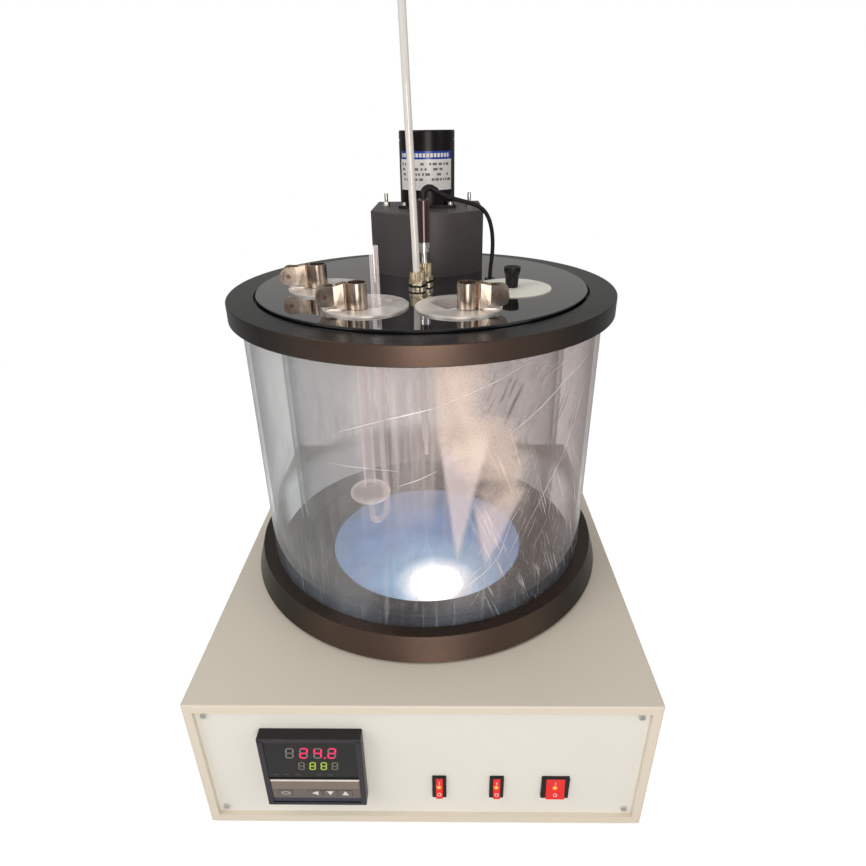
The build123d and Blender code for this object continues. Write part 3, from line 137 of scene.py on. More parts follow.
def surface(name, colour, rough=0.5, metal=0.0, vary=0.0, vary_scale=30.0, bump=0.0, bump_scale=400.0,
            coat=0.0, specular=0.5, glow=None, glow_strength=0.0):
    """Principled material whose colour, roughness and relief are broken up by noise."""
    material, tree, output = new_material(name)
    shader = add(tree, "ShaderNodeBsdfPrincipled", Metallic=metal, Roughness=rough)
    shader.inputs["Base Color"].default_value = (*colour, 1.0)
    shader.inputs["Coat Weight"].default_value = coat
    shader.inputs["Specular IOR Level"].default_value = specular
    if glow:
        shader.inputs["Emission Color"].default_value = (*glow, 1.0)
        shader.inputs["Emission Strength"].default_value = glow_strength
    if vary:
        grain = noise(tree, vary_scale)
        dark = [c * (1 - vary) for c in colour]
        light = [min(1.0, c * (1 + vary)) for c in colour]
        tree.links.new(ramp(tree, grain, [(0.3, dark), (0.7, light)]), shader.inputs["Base Color"])
        spread = math_node(tree, "MULTIPLY_ADD", grain, 0.25, max(0.02, rough - 0.125))
        tree.links.new(spread, shader.inputs["Roughness"])
    if bump:
        relief = add(tree, "ShaderNodeBump", Strength=bump, Distance=0.0005)
        tree.links.new(noise(tree, bump_scale), relief.inputs["Height"])
        tree.links.new(relief.outputs["Normal"], shader.inputs["Normal"])
    tree.links.new(shader.outputs["BSDF"], output.inputs["Surface"])
    return material


def emitter(name, colour, strength):
    material, tree, output = new_material(name)
    light = add(tree, "ShaderNodeEmission", Strength=strength)
    light.inputs["Color"].default_value = (*colour, 1.0)
    tree.links.new(light.outputs[0], output.inputs["Surface"])
    return material


def shader_mix(tree, share, first, second):
    """Shader that goes from first to second as share goes from 0 to 1."""
    node = tree.nodes.new("ShaderNodeMixShader")
    for socket, value in zip(node.inputs, (share, first, second)):
        tree.links.new(value, socket)
    return node.outputs[0]


def mirror_share(tree, base, power):
    """How much a pane mirrors, from its facing angle, the same from both sides."""
    facing = add(tree, "ShaderNodeLayerWeight", Blend=0.5)
    curve = math_node(tree, "POWER", facing.outputs["Facing"], power)
    return math_node(tree, "MULTIPLY_ADD", curve, 1.0 - base, base)


def clear_pane(name, tint, film, film_colour=(0.78, 0.79, 0.8), base=0.04, power=5.0, rough=0.02, glow=0.0,
               straight=False):
    """See-through wall: what is behind it, its mirror share, and the film that lies on it.

    tint is a colour, or a function that gives its socket. film gives the film's cover, colour and glow,
    of which the last two may be None; its colour and glow also carry painted light. straight makes the wall
    refract without a bend.
    """
    material, tree, output = new_material(name)
    if straight:
        through = add(tree, "ShaderNodeBsdfRefraction", Roughness=0.0, IOR=1.0)
    else:
        through = add(tree, "ShaderNodeBsdfTransparent")
    if callable(tint):
        tree.links.new(tint(tree), through.inputs["Color"])
    else:
        through.inputs["Color"].default_value = (*tint, 1.0)
    gloss = add(tree, "ShaderNodeBsdfGlossy", Roughness=rough)
    gloss.inputs["Color"].default_value = (1.0, 1.0, 1.0, 1.0)
    pane = shader_mix(tree, mirror_share(tree, base, power), through.outputs[0], gloss.outputs[0])
    # Film shader: real film, and painted light where its colour and glow stand in for reflections, shade and
    # highlights
    film_and_painted_light = add(tree, "ShaderNodeBsdfPrincipled", Roughness=0.45)
    film_and_painted_light.inputs["Base Color"].default_value = (*film_colour, 1.0)
    film_and_painted_light.inputs["Emission Color"].default_value = (*film_colour, 1.0)
    film_and_painted_light.inputs["Emission Strength"].default_value = glow
    cover, cover_colour, cover_glow = film(tree)
    if cover_colour:
        tree.links.new(cover_colour, film_and_painted_light.inputs["Base Color"])
        tree.links.new(cover_colour, film_and_painted_light.inputs["Emission Color"])
    if cover_glow:
        tree.links.new(cover_glow, film_and_painted_light.inputs["Emission Strength"])
    tree.links.new(shader_mix(tree, cover, pane, film_and_painted_light.outputs[0]), output.inputs["Surface"])
    return material


def polar_place(tree):
    """Arc from the jar's front and height, both in metres, for marks on its walls."""
    place = tree.nodes.new("ShaderNodeTexCoord")
    parts = tree.nodes.new("ShaderNodeSeparateXYZ")
    tree.links.new(place.outputs["Object"], parts.inputs[0])
    forwards = math_node(tree, "MULTIPLY", parts.outputs["Y"], -1.0)
    angle = math_node(tree, "ARCTAN2", parts.outputs["X"], forwards)
    arc = math_node(tree, "MULTIPLY", angle, WALL_RADIUS * MM)
    joined = tree.nodes.new("ShaderNodeCombineXYZ")
    tree.links.new(arc, joined.inputs[0])
    tree.links.new(parts.outputs["Z"], joined.inputs[1])
    return joined.outputs[0], arc, parts.outputs["Z"]


def streaks(tree, turn, stretch, scale, low, high, strength, seed):
    """Long thin marks on the unrolled wall, as a value from 0 to strength."""
    vector = polar_place(tree)[0]
    mapping = tree.nodes.new("ShaderNodeMapping")
    mapping.inputs["Rotation"].default_value = (0.0, 0.0, turn)
    mapping.inputs["Location"].default_value = (seed, seed * 0.7, seed)
    tree.links.new(vector, mapping.inputs["Vector"])
    squeeze = tree.nodes.new("ShaderNodeMapping")
    squeeze.inputs["Scale"].default_value = stretch
    tree.links.new(mapping.outputs[0], squeeze.inputs["Vector"])
    texture = noise_at(tree, squeeze.outputs[0], scale, 3.0, 0.6)
    return step(tree, texture, low, high, strength, "LINEAR")


def blended(tree, share, first, second):
    """Colour from first to second as share goes from 0 to 1. second is a socket or a plain colour."""
    node = tree.nodes.new("ShaderNodeMix")
    node.data_type = "RGBA"
    tree.links.new(share, node.inputs[0])
    tree.links.new(first, node.inputs[6])
    if isinstance(second, tuple):
        node.inputs[7].default_value = (*second, 1.0)
    else:
        tree.links.new(second, node.inputs[7])
    return node.outputs[2]


def distance_from(tree, spot):
    """Distance in metres from a spot given in millimetres."""
    place = tree.nodes.new("ShaderNodeTexCoord")
    gap = tree.nodes.new("ShaderNodeVectorMath")
    gap.operation = "DISTANCE"
    tree.links.new(place.outputs["Object"], gap.inputs[0])
    gap.inputs[1].default_value = [value * MM for value in spot]
    return gap.outputs["Value"]


def step(tree, value, low, high, top=1.0, kind="SMOOTHSTEP"):
    """Step from 0 at low to top at high, or down when low is the larger."""
    node = add(tree, "ShaderNodeMapRange")
    node.interpolation_type = kind
    node.inputs["From Min"].default_value = low
    node.inputs["From Max"].default_value = high
    node.inputs["To Max"].default_value = top
    tree.links.new(value, node.inputs["Value"])
    return node.outputs[0]


def product(tree, *values):
    total = values[0]
    for value in values[1:]:
        total = math_node(tree, "MULTIPLY", total, value)
    return total


def added(tree, *values):
    total = values[0]
    for value in values[1:]:
        total = math_node(tree, "ADD", total, value)
    return total


def painted_reflection_patch(tree):
    """Painted reflection as a soft slanting patch to the right of the front, from 0 to 1."""
    vector, arc, height = polar_place(tree)
    cloud = noise_at(tree, vector, 26.0, 5.0, 0.65)
    ragged = math_node(tree, "MULTIPLY", math_node(tree, "SUBTRACT", cloud, 0.5), 0.11)
    slant = added(tree, arc, height, ragged)
    rough_arc = added(tree, arc, math_node(tree, "MULTIPLY", ragged, 0.5))
    band = product(
        tree, step(tree, slant, 0.395, 0.44), step(tree, slant, 0.515, 0.465),
        step(tree, rough_arc, 0.108, 0.085), step(tree, height, 0.315, 0.345))
    column = product(tree, step(tree, height, 0.375, 0.43), step(tree, rough_arc, 0.075, 0.035))
    grain = noise_at(tree, vector, 650.0, 2.0, 0.6)
    inside = product(tree, math_node(tree, "MAXIMUM", band, column), step(tree, arc, 0.012, 0.021))
    speckle = math_node(tree, "MULTIPLY_ADD", step(tree, grain, 0.35, 0.65), 0.3, 0.6)
    lean = added(tree, arc, math_node(tree, "MULTIPLY", height, 0.31))
    core = product(
        tree, step(tree, lean, 0.163, 0.173), step(tree, lean, 0.192, 0.178), step(tree, height, 0.37, 0.41))
    return product(tree, inside, added(tree, speckle, math_node(tree, "MULTIPLY", core, 0.35)))


def wedge(tree, left_foot, right_foot, left_slope, right_slope, foot, top):
    """Smooth wedge that stands on its tip, from 0 to 1. Its two sides go from the feet at the slopes."""
    arc, height = polar_place(tree)[1:]
    rise = math_node(tree, "SUBTRACT", height, foot)
    left = added(tree, math_node(tree, "MULTIPLY", rise, left_slope), left_foot)
    right = added(tree, math_node(tree, "MULTIPLY", rise, right_slope), right_foot)
    past_left = math_node(tree, "SUBTRACT", arc, left)
    past_right = math_node(tree, "SUBTRACT", right, arc)
    return product(
        tree, step(tree, past_left, -0.002, 0.003), step(tree, past_right, -0.001, 0.007),
        step(tree, height, foot - 0.02, foot + 0.03), step(tree, height, top + 0.02, top - 0.01))


def outer_film(tree):
    """Haze, dust, wipe marks and scuffs on the outer wall, with painted light in the same film: a painted
    reflection right of the front, painted bluish lamp light low at the front, painted reflection and shade
    low at the back, and pale pink wedges. Gives their cover, colour and glow.
    """
    arc, height = polar_place(tree)[1:]
    low_down = step(tree, height, 0.4, 0.21)
    upper = step(tree, height, 0.3, 0.4)
    far = math_node(tree, "ABSOLUTE", arc)
    # Low at the back: painted reflection and shade, pale with a painted glow towards the sides, dark purple
    # at the back
    behind = product(tree, step(tree, far, 0.29, 0.33), step(tree, height, 0.26, 0.222))
    haze = streaks(tree, 0.25, (1.0, 0.35, 1.0), 14.0, 0.3, 0.8, 0.16, 3.0)
    columns = product(
        tree, streaks(tree, 0.0, (1.0, 0.05, 1.0), 75.0, 0.38, 0.7, 0.4, 9.0), upper,
        step(tree, arc, -0.075, -0.03), step(tree, arc, 0.03, 0.016))
    dust = product(tree, streaks(tree, 0.0, (1.0, 1.0, 1.0), 900.0, 0.58, 0.7, 0.3, 2.0), low_down)
    wipes = product(tree, streaks(tree, 0.0, (22.0, 1.0, 1.0), 11.0, 0.55, 0.75, 0.3, 1.0), low_down)
    on_right = product(tree, step(tree, arc, 0.03, 0.09), step(tree, height, 0.46, 0.3))
    scuffs = product(tree, streaks(tree, 1.2, (1.0, 20.0, 1.0), 13.0, 0.58, 0.68, 0.6, 7.0), on_right)
    few = product(
        tree, streaks(tree, -0.35, (1.0, 26.0, 1.0), 6.0, 0.65, 0.72, 0.22, 4.0), step(tree, arc, -0.1, 0.1))
    # warm is a painted reflection: a warm patch to the right of the front
    warm = painted_reflection_patch(tree)
    pale = math_node(tree, "MAXIMUM", wedge(tree, 0.0346, 0.0346, -0.122, 0.2155, 0.272, 0.4),
                     wedge(tree, 0.0625, 0.0625, -0.193, 0.493, 0.266, 0.335))
    cover = added(tree, haze, columns, dust, wipes, scuffs, few, math_node(tree, "MULTIPLY", warm, 0.5),
                  math_node(tree, "MULTIPLY", pale, 0.36), math_node(tree, "MULTIPLY", behind, 0.85), 0.03)
    # Painted reflection in the film's colour: cool on the left, warm on the right
    to_right = step(tree, arc, -0.12, 0.03)
    front_tone_painted_reflection = ramp(tree, to_right, [(0.0, (0.8, 0.82, 0.83)), (1.0, (0.84, 0.76, 0.74))])
    back_tone_painted_light = ramp(tree, step(tree, far, 0.44, 0.54), [(0.0, (0.95, 0.96, 0.96)), (1.0, (0.3, 0.22, 0.24))])
    # foot is painted bluish lamp light on the film, low on the front of the wall
    foot = product(tree, step(tree, height, 0.27, 0.2), step(tree, far, 0.29, 0.2))
    painted_reflection_share = math_node(tree, "MINIMUM", math_node(tree, "MULTIPLY", warm, 1.4), 1.0)
    tone = blended(tree, foot, front_tone_painted_reflection, (0.42, 0.52, 0.64))
    tone = blended(tree, behind, tone, back_tone_painted_light)
    tone = blended(tree, pale, tone, (1.0, 0.88, 0.9))
    tone = blended(tree, painted_reflection_share, tone, (1.0, 0.84, 0.74))
    return math_node(tree, "MINIMUM", cover, 0.9), tone, math_node(tree, "MULTIPLY", behind, 0.4)


def outer_tint_painted_reflection(tree):
    """Colour of the outer wall along its front, a painted reflection: cool on the left, warm and darker on
    the right.
    """
    spread = step(tree, polar_place(tree)[1], -0.3, 0.3, kind="LINEAR")
    return ramp(tree, spread, [
        (0.0, (0.928, 0.924, 0.922)), (0.03, (0.84, 0.845, 0.845)), (0.3, (0.84, 0.845, 0.845)),
        (0.47, (0.92, 0.88, 0.875)), (0.58, (0.92, 0.87, 0.86)), (0.8, (0.79, 0.745, 0.74)),
        (0.97, (0.79, 0.745, 0.74)), (1.0, (0.928, 0.924, 0.922))])


def inner_film(tree):
    return streaks(tree, 0.1, (1.6, 0.4, 1.0), 12.0, 0.45, 0.8, 0.12, 5.0), None, None


def painted_tube_outline(tree):
    """Painted bright outline of a blown tube: a pale film growing towards grazing sight."""
    facing = add(tree, "ShaderNodeLayerWeight", Blend=0.5)
    curve = math_node(tree, "POWER", facing.outputs["Facing"], 3.0)
    return math_node(tree, "MULTIPLY_ADD", curve, 0.62, 0.05), None, None


def dark_metal_painted_sheen(name):
    """Dark turned metal with a fine grain and a painted sheen: warm where it faces the viewer, nearly black
    at grazing sight.
    """
    material, tree, output = new_material(name)
    shader = add(tree, "ShaderNodeBsdfPrincipled", Metallic=0.9, Roughness=0.3)
    facing = add(tree, "ShaderNodeLayerWeight", Blend=0.5)
    # Painted sheen: the base colour follows the facing angle
    colour = ramp(tree, facing.outputs["Facing"], [
        (0.0, (0.145, 0.094, 0.074)), (0.3, (0.1, 0.072, 0.058)), (0.52, (0.036, 0.033, 0.031)),
        (0.8, (0.012, 0.012, 0.011)), (1.0, (0.016, 0.016, 0.016))])
    tree.links.new(colour, shader.inputs["Base Color"])
    marks = noise(tree, 900.0, 2.0, stretch=(1.0, 1.0, 2.0))
    spread = math_node(tree, "MULTIPLY_ADD", marks, 0.2, 0.2)
    tree.links.new(spread, shader.inputs["Roughness"])
    relief = add(tree, "ShaderNodeBump", Strength=0.1, Distance=0.0003)
    tree.links.new(marks, relief.inputs["Height"])
    tree.links.new(relief.outputs["Normal"], shader.inputs["Normal"])
    tree.links.new(shader.outputs["BSDF"], output.inputs["Surface"])
    return material


M = {
    "case_paint": surface("case_paint", (0.79, 0.72, 0.605), 0.38, vary=0.012, vary_scale=8, bump=0.05,
                          bump_scale=900),
    "panel_paint": surface("panel_paint", (0.83, 0.82, 0.77), 0.42, vary=0.012, vary_scale=8, bump=0.05,
                           bump_scale=900),
    "floor_steel": surface("floor_steel", (0.55, 0.55, 0.55), 0.4, 1.0, vary=0.1),
    "foot_rubber": surface("foot_rubber", (0.03, 0.03, 0.03), 0.8, bump=0.2),
    "screw_steel": surface("screw_steel", (0.7, 0.69, 0.67), 0.28, 1.0, vary=0.1, vary_scale=200),
    "black_plastic": surface("black_plastic", (0.009, 0.008, 0.008), 0.4, bump=0.1, bump_scale=1500,
                             specular=0.35),
    "controller_plastic": surface("controller_plastic", (0.01, 0.009, 0.009), 0.4, bump=0.12, bump_scale=2200,
                                  specular=0.35),
    "bezel_face": surface("bezel_face", (0.04, 0.038, 0.047), 0.45, bump=0.1, bump_scale=2200, specular=0.35),
    "key_plastic": surface("key_plastic", (0.165, 0.14, 0.135), 0.45, vary=0.03),
    "band_warm": surface("band_warm", (0.235, 0.19, 0.15), 0.35, vary=0.05, vary_scale=60),
    "band_grey": surface("band_grey", (0.165, 0.14, 0.135), 0.4, vary=0.05, vary_scale=60),
    "band_slate": surface("band_slate", (0.04, 0.04, 0.066), 0.4),
    "band_white": surface("band_white", (0.85, 0.81, 0.78), 0.35),
    "mark_white": surface("mark_white", (0.8, 0.76, 0.74), 0.4),
    "mark_dim": surface("mark_dim", (0.05, 0.046, 0.046), 0.4),
    "ring_metal": dark_metal_painted_sheen("ring_metal"),
    "lid_black": surface("lid_black", (0.006, 0.006, 0.007), 0.04, coat=0.5, specular=1.0),
    "plate_steel": surface("plate_steel", (0.92, 0.86, 0.81), 0.42, 0.8, vary=0.1, vary_scale=60),
    "clip_steel": surface("clip_steel", (0.52, 0.43, 0.36), 0.24, 1.0, vary=0.22, vary_scale=70),
    "mark_brown": surface("mark_brown", (0.2, 0.12, 0.09), 0.35, 0.8),
    "spring_steel": surface("spring_steel", (0.5, 0.46, 0.42), 0.3, 1.0),
    "sleeve_rubber": surface("sleeve_rubber", (0.33, 0.17, 0.08), 0.6),
    "cover_plastic": surface("cover_plastic", (0.88, 0.87, 0.77), 0.4, bump=0.1, bump_scale=700),
    "knob_plastic": surface("knob_plastic", (0.005, 0.005, 0.005), 0.4, specular=0.3),
    "gland_metal": surface("gland_metal", (0.86, 0.74, 0.54), 0.2, 1.0, vary=0.2, vary_scale=260),
    "probe_steel": surface("probe_steel", (0.86, 0.85, 0.84), 0.16, 1.0),
    "handle_plastic": surface("handle_plastic", (0.045, 0.016, 0.014), 0.16, coat=0.6),
    "cable_rubber": surface("cable_rubber", (0.007, 0.007, 0.007), 0.42, bump=0.1, bump_scale=900,
                            specular=0.3),
    "housing_paint": surface("housing_paint", (0.062, 0.053, 0.055), 0.46, bump=0.25, bump_scale=1500),
    "motor_paint": surface("motor_paint", (0.004, 0.003, 0.003), 0.3, specular=0.22),
    "label_blue": surface("label_blue", (0.01, 0.05, 0.36), 0.25),
    "label_white": surface("label_white", (0.78, 0.75, 0.73), 0.3),
    "mark_dark": surface("mark_dark", (0.16, 0.13, 0.13), 0.5),
    "shaft_steel": surface("shaft_steel", (0.6, 0.6, 0.6), 0.28, 1.0, vary=0.1),
    "lamp_metal": surface("lamp_metal", (0.75, 0.75, 0.75), 0.2, 1.0),
    "jar_glass_outer": clear_pane("jar_glass_outer", outer_tint_painted_reflection, outer_film, base=0.035),
    "jar_glass_inner": clear_pane("jar_glass_inner", (0.945, 0.942, 0.945), inner_film, base=0.02, power=6.0),
    # The viscometer's film carries a painted glow, brightest on its outline
    "viscometer_glass": clear_pane("viscometer_glass", (0.98, 0.965, 0.96), painted_tube_outline, (0.96, 0.88, 0.87),
                                   power=6.0, rough=0.05, glow=0.7, straight=True),
    # Scratches with a faint painted glint as glow
    "scratch_with_painted_glint": surface("scratch_with_painted_glint", (0.93, 0.9, 0.88), 0.35, glow=(1.0, 0.95, 0.92), glow_strength=0.1),
}


def gasket_material():
    """Dark ring under the jar with pale specks."""
    material, tree, output = new_material("gasket_speckled")
    shader = add(tree, "ShaderNodeBsdfPrincipled", Roughness=0.5)
    specks = noise(tree, 420.0, 3.0)
    colour = ramp(tree, specks, [
        (0.5, (0.005, 0.006, 0.009)), (0.64, (0.02, 0.022, 0.03)), (0.74, (0.3, 0.31, 0.35))])
    tree.links.new(colour, shader.inputs["Base Color"])
    tree.links.new(shader.outputs[0], output.inputs["Surface"])
    return material


def lit_window():
    """Frosted window lit from below: blue-white, brightest over the lamp."""
    material, tree, output = new_material("lit_window")
    distance = distance_from(tree, (*LAMP, CASE_TOP - 1.5))
    colour = ramp(tree, distance, [
        (0.0, (1.0, 1.0, 1.0)),
        (0.028, (0.93, 0.98, 1.0)),
        (0.05, (0.4, 0.7, 1.0)),
        (0.1, (0.27, 0.5, 0.92)),
        (0.2, (0.2, 0.37, 0.66)),
    ])
    levels = ((0.0, 1.0), (0.016, 0.8), (0.03, 0.2), (0.05, 0.105), (0.1, 0.09), (0.2, 0.075))
    spread = ramp(tree, distance, [(position, (level,) * 3) for position, level in levels])
    strength = math_node(tree, "MULTIPLY", spread, 10.0)
    mottle = math_node(tree, "MULTIPLY_ADD", noise(tree, 28.0, 5.0), 0.7, 0.65)
    shader = add(tree, "ShaderNodeBsdfPrincipled", Roughness=0.25)
    shader.inputs["Base Color"].default_value = (0.25, 0.3, 0.36, 1.0)
    tree.links.new(colour, shader.inputs["Emission Color"])
    tree.links.new(math_node(tree, "MULTIPLY", strength, mottle), shader.inputs["Emission Strength"])
    tree.links.new(shader.outputs[0], output.inputs["Surface"])
    return material


def thermometer_glass():
    """White-backed rod, paler where the jar's light falls on it."""
    material, tree, output = new_material("thermometer_glass")
    shader = add(tree, "ShaderNodeBsdfPrincipled", Roughness=0.12)
    for socket in ("Base Color", "Emission Color"):
        shader.inputs[socket].default_value = (0.83, 0.79, 0.75, 1.0)
    shader.inputs["Coat Weight"].default_value = 0.6
    height = polar_place(tree)[2]
    glow = math_node(tree, "MULTIPLY", step(tree, height, (LID_TOP + 2.0) * MM, (LID_TOP - 18.0) * MM), 0.36)
    tree.links.new(glow, shader.inputs["Emission Strength"])
    tree.links.new(shader.outputs[0], output.inputs["Surface"])
    return material


M["gasket"] = gasket_material()
M["lit_window"] = lit_window()
M["thermometer_glass"] = thermometer_glass()
M["display_plastic"] = surface("display_plastic", (0.012, 0.012, 0.013), 0.12, specular=0.5)


def rocker_red(name, x):
    """Red rocker with a small lamp behind it that shows as an orange spot."""
    material, tree, output = new_material(name)
    distance = distance_from(tree, (x - 0.4, PIVOT_Y - 3.2, SWITCH_Z + 1.6))
    near = step(tree, distance, 0.0035, 0.0006)
    colour = ramp(tree, near, [(0.0, (0.9, 0.02, 0.012)), (0.5, (1.0, 0.2, 0.02)), (1.0, (1.0, 0.62, 0.12))])
    strength = math_node(tree, "MULTIPLY_ADD", near, 1.1, 0.26)
    shader = add(tree, "ShaderNodeBsdfPrincipled", Roughness=0.2)
    shader.inputs["Base Color"].default_value = (0.62, 0.012, 0.01, 1.0)
    shader.inputs["Coat Weight"].default_value = 0.4
    tree.links.new(colour, shader.inputs["Emission Color"])
    tree.links.new(strength, shader.inputs["Emission Strength"])
    tree.links.new(shader.outputs[0], output.inputs["Surface"])
    return material


for switch, switch_x in SWITCHES.items():
    M[f"{switch}_red"] = rocker_red(f"{switch}_red", switch_x)

PAINT = {
    "case_paint": ["case_shell"],
    "panel_paint": ["front_panel", "back_panel"],
    "floor_steel": ["base_plate"],
    "foot_rubber": ["feet"],
    "gasket": ["seat_gasket"],
    "screw_steel": ["panel_screws", "housing_studs", "motor_screws"],
    "black_plastic": ["power_inlet", "control_switch_frame", "light_switch_frame", "power_switch_frame",
                      "cable_grommet"],
    "controller_plastic": ["controller"],
    "display_plastic": ["display_window"],
    "key_plastic": list(KEYS),
    "control_red": ["control_rocker"],
    "light_red": ["light_rocker"],
    "power_red": ["power_rocker"],
    "lit_window": ["lamp_window"],
    "lamp_metal": ["lamp"],
    "jar_glass_outer": ["outer_cylinder"],
    "jar_glass_inner": ["inner_jar"],
    "viscometer_glass": ["viscometer"],
    "ring_metal": ["base_ring", "top_ring"],
    "lid_black": ["lid"],
    "plate_steel": ["plate_1", "plate_2", "plate_3", "clip_1_bracket", "clip_2_bracket", "clip_3_bracket"],
    "clip_steel": [f"clip_{n}_{side}_leaf" for n in (1, 2, 3) for side in ("front", "back")],
    "spring_steel": ["clip_1_spring", "clip_2_spring", "clip_3_spring"],
    "sleeve_rubber": ["viscometer_sleeve"],
    "cover_plastic": ["cover_plate"],
    "knob_plastic": ["cover_knob"],
    "thermometer_glass": ["thermometer"],
    "gland_metal": ["glands"],
    "probe_steel": ["sensor_probe"],
    "handle_plastic": ["sensor_handle"],
    "cable_rubber": ["sensor_boot"],
    "housing_paint": ["motor_housing"],
    "motor_paint": ["motor"],
    "shaft_steel": ["stirrer_shaft", "propeller", "heater"],
}
for material_name, nodes in PAINT.items():
    for node in nodes:
        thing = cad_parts[node]
        if not thing.material_slots:
            thing.data.materials.append(None)
        for material_slot in thing.material_slots:
            material_slot.material = M[material_name]


# Pieces made here

def mesh_piece(name, vertices, faces, material, body, smooth=False):
    """Mesh from vertices in millimetres, riding on a body."""
    mesh = bpy.data.meshes.new(name)
    mesh.from_pydata([Vector(v) * MM for v in vertices], [], faces)
    mesh.materials.append(material)
    mesh.update()
    if smooth:
        for polygon in mesh.polygons:
            polygon.use_smooth = True
    piece = bpy.data.objects.new(name, mesh)
    scene.collection.objects.link(piece)
    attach(piece, body)


def prism(outline, low, high):
    """Vertices and faces of an upright prism, outline as (x, z), low and high as y."""
    count = len(outline)
    vertices = [(x, low, z) for x, z in outline] + [(x, high, z) for x, z in outline]
    faces = [tuple(range(count))[::-1], tuple(range(count, 2 * count))]
    faces += [(i, (i + 1) % count, (i + 1) % count + count, i + count) for i in range(count)]
    return vertices, faces


def prisms(name, outlines, low, high, material, body):
    """Several prisms in one piece."""
    vertices = []
    faces = []
    for outline in outlines:
        new_vertices, new_faces = prism(outline, low, high)
        faces += [tuple(i + len(vertices) for i in face) for face in new_faces]
        vertices += new_vertices
    mesh_piece(name, vertices, faces, material, body)


SEGMENTS = {
    "a": (0, 1, 1, 1), "b": (1, 0.5, 1, 1), "c": (1, 0, 1, 0.5), "d": (0, 0, 1, 0),
    "e": (0, 0, 0, 0.5), "f": (0, 0.5, 0, 1), "g": (0, 0.5, 1, 0.5),
}
DIGITS = {"8": "abcdefg", "2": "abged", "4": "fgbc", " ": ""}
SLANT = 0.1


def digit_outlines(x, z, width, height, bar, letters):
    """Outlines of the lit bars of one seven-bar digit with its lower left corner at x, z."""
    outlines = []
    for letter in letters:
        x0, z0, x1, z1 = SEGMENTS[letter]
        ax, az, bx, bz = x0 * width, z0 * height, x1 * width, z1 * height
        along = Vector((bx - ax, bz - az)).normalized()
        across = Vector((-along.y, along.x)) * bar / 2
        start = Vector((ax, az)) + along * bar * 0.6
        end = Vector((bx, bz)) - along * bar * 0.6
        points = [start - along * bar / 2, start + across, end + across, end + along * bar / 2, end - across,
                  start - across]
        outlines.append([(x + p.x + SLANT * p.y, z + p.y) for p in points])
    return outlines


LED = {
    "red": emitter("led_red", (1.0, 0.06, 0.17), 1.15),
    "green": emitter("led_green", (0.5, 0.72, 0.1), 0.85),
    "dim_red": surface("led_dim_red", (0.2, 0.17, 0.17), 0.4),
    "dim_green": surface("led_dim_green", (0.2, 0.18, 0.13), 0.4),
}
window_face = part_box("display_window")[0][1] / MM

# How far thin pieces stand out of what carries them, and how deep they sink into it
SUNK = 0.05
LIT_STAND = 0.12
UNLIT_STAND = 0.08
MARK_STAND = 0.06
BAND_STAND = 0.05
BEZEL_STAND = 0.04
BEZEL_SUNK = 0.2


def on_display(name, outlines, stand, material):
    """Thin piece on the display."""
    prisms(name, outlines, window_face - stand, window_face + SUNK, material, "base")


def digits(name, text, x, z, width, height, pitch, bar, lit, unlit):
    """A row of digits on the display: a blank keeps its unlit bars."""
    on = []
    off = []
    for index, letter in enumerate(text):
        place = x + index * pitch
        on += digit_outlines(place, z, width, height, bar, DIGITS[letter])
        rest = [s for s in SEGMENTS if s not in DIGITS[letter]]
        off += digit_outlines(place, z, width, height, bar, rest)
    on_display(name + "_lit", on, LIT_STAND, LED[lit])
    on_display(name + "_unlit", off, UNLIT_STAND, LED[unlit])


digits("upper_digits", " 242", CONTROLLER_X - 23.2, CONTROLLER_Z + 21.2,
       width=6.4, height=12.8, pitch=13.1, bar=1.7, lit="red", unlit="dim_red")
digits("lower_digits", " 88 ", CONTROLLER_X - 13.0, CONTROLLER_Z + 4.6,
       width=4.8, height=9.8, pitch=10.5, bar=1.25, lit="green", unlit="dim_green")


def rectangle(x, z, width, height):
    """Corners of a rectangle about x, z on the controller's front."""
    x += CONTROLLER_X
    z += CONTROLLER_Z
    return [(x - width / 2, z - height / 2), (x + width / 2, z - height / 2), (x + width / 2, z + height / 2),
            (x - width / 2, z + height / 2)]


def oval(x, z, width, height, steps=20):
    """Corners of an oval about x, z on the controller's front."""
    x += CONTROLLER_X
    z += CONTROLLER_Z
    turns = [2 * math.pi * i / steps for i in range(steps)]
    return [(x + width / 2 * math.cos(t), z + height / 2 * math.sin(t)) for t in turns]


def ring(x, z, width, height, bar):
    """Outlines that make up an oval ring about x, z on the controller's front."""
    outer = oval(x, z, width, height)
    inner = oval(x, z, width - 2 * bar, height - 2 * bar)
    count = len(outer)
    return [[outer[i], outer[(i + 1) % count], inner[(i + 1) % count], inner[i]] for i in range(count)]


# Marks on the display, the frame round it and the printed band under it
MARK_PLACES = (-35.7, -25.8, -15.1, 5.4, 15.5)
on_display("upper_point", [oval(13.0, 21.0, 1.9, 2.2)], LIT_STAND, LED["red"])
on_display("display_marks", [oval(x, -2.8, 5.6, 2.0) for x in MARK_PLACES], MARK_STAND, M["mark_dim"])
bezel_strips = [rectangle(*strip) for strip in (
    (0, 45.15, 95.0, 4.8), (0, -45.9, 95.0, 3.2), (-45.15, 0, 4.6, 88.0), (45.15, 0, 4.6, 88.0))]
prisms("bezel_face", bezel_strips, BEZEL_Y - BEZEL_STAND, BEZEL_Y + BEZEL_SUNK, M["bezel_face"], "base")
BAND_WIDTH = 85.2
BANDS = {"white": (-9.7, -13.4), "warm": (-13.4, -24.6), "slate": (-38.2, -44.0)}
KEY_ROW = -30.6
KEY_ROW_HEIGHT = 8.7
KEY_HALF_SLOT = 6.75
band_face = BEZEL_Y + 0.9


def band(name, outlines):
    """Part of the printed band."""
    prisms(f"band_{name}", outlines, band_face - BAND_STAND, band_face + SUNK, M[f"band_{name}"], "base")


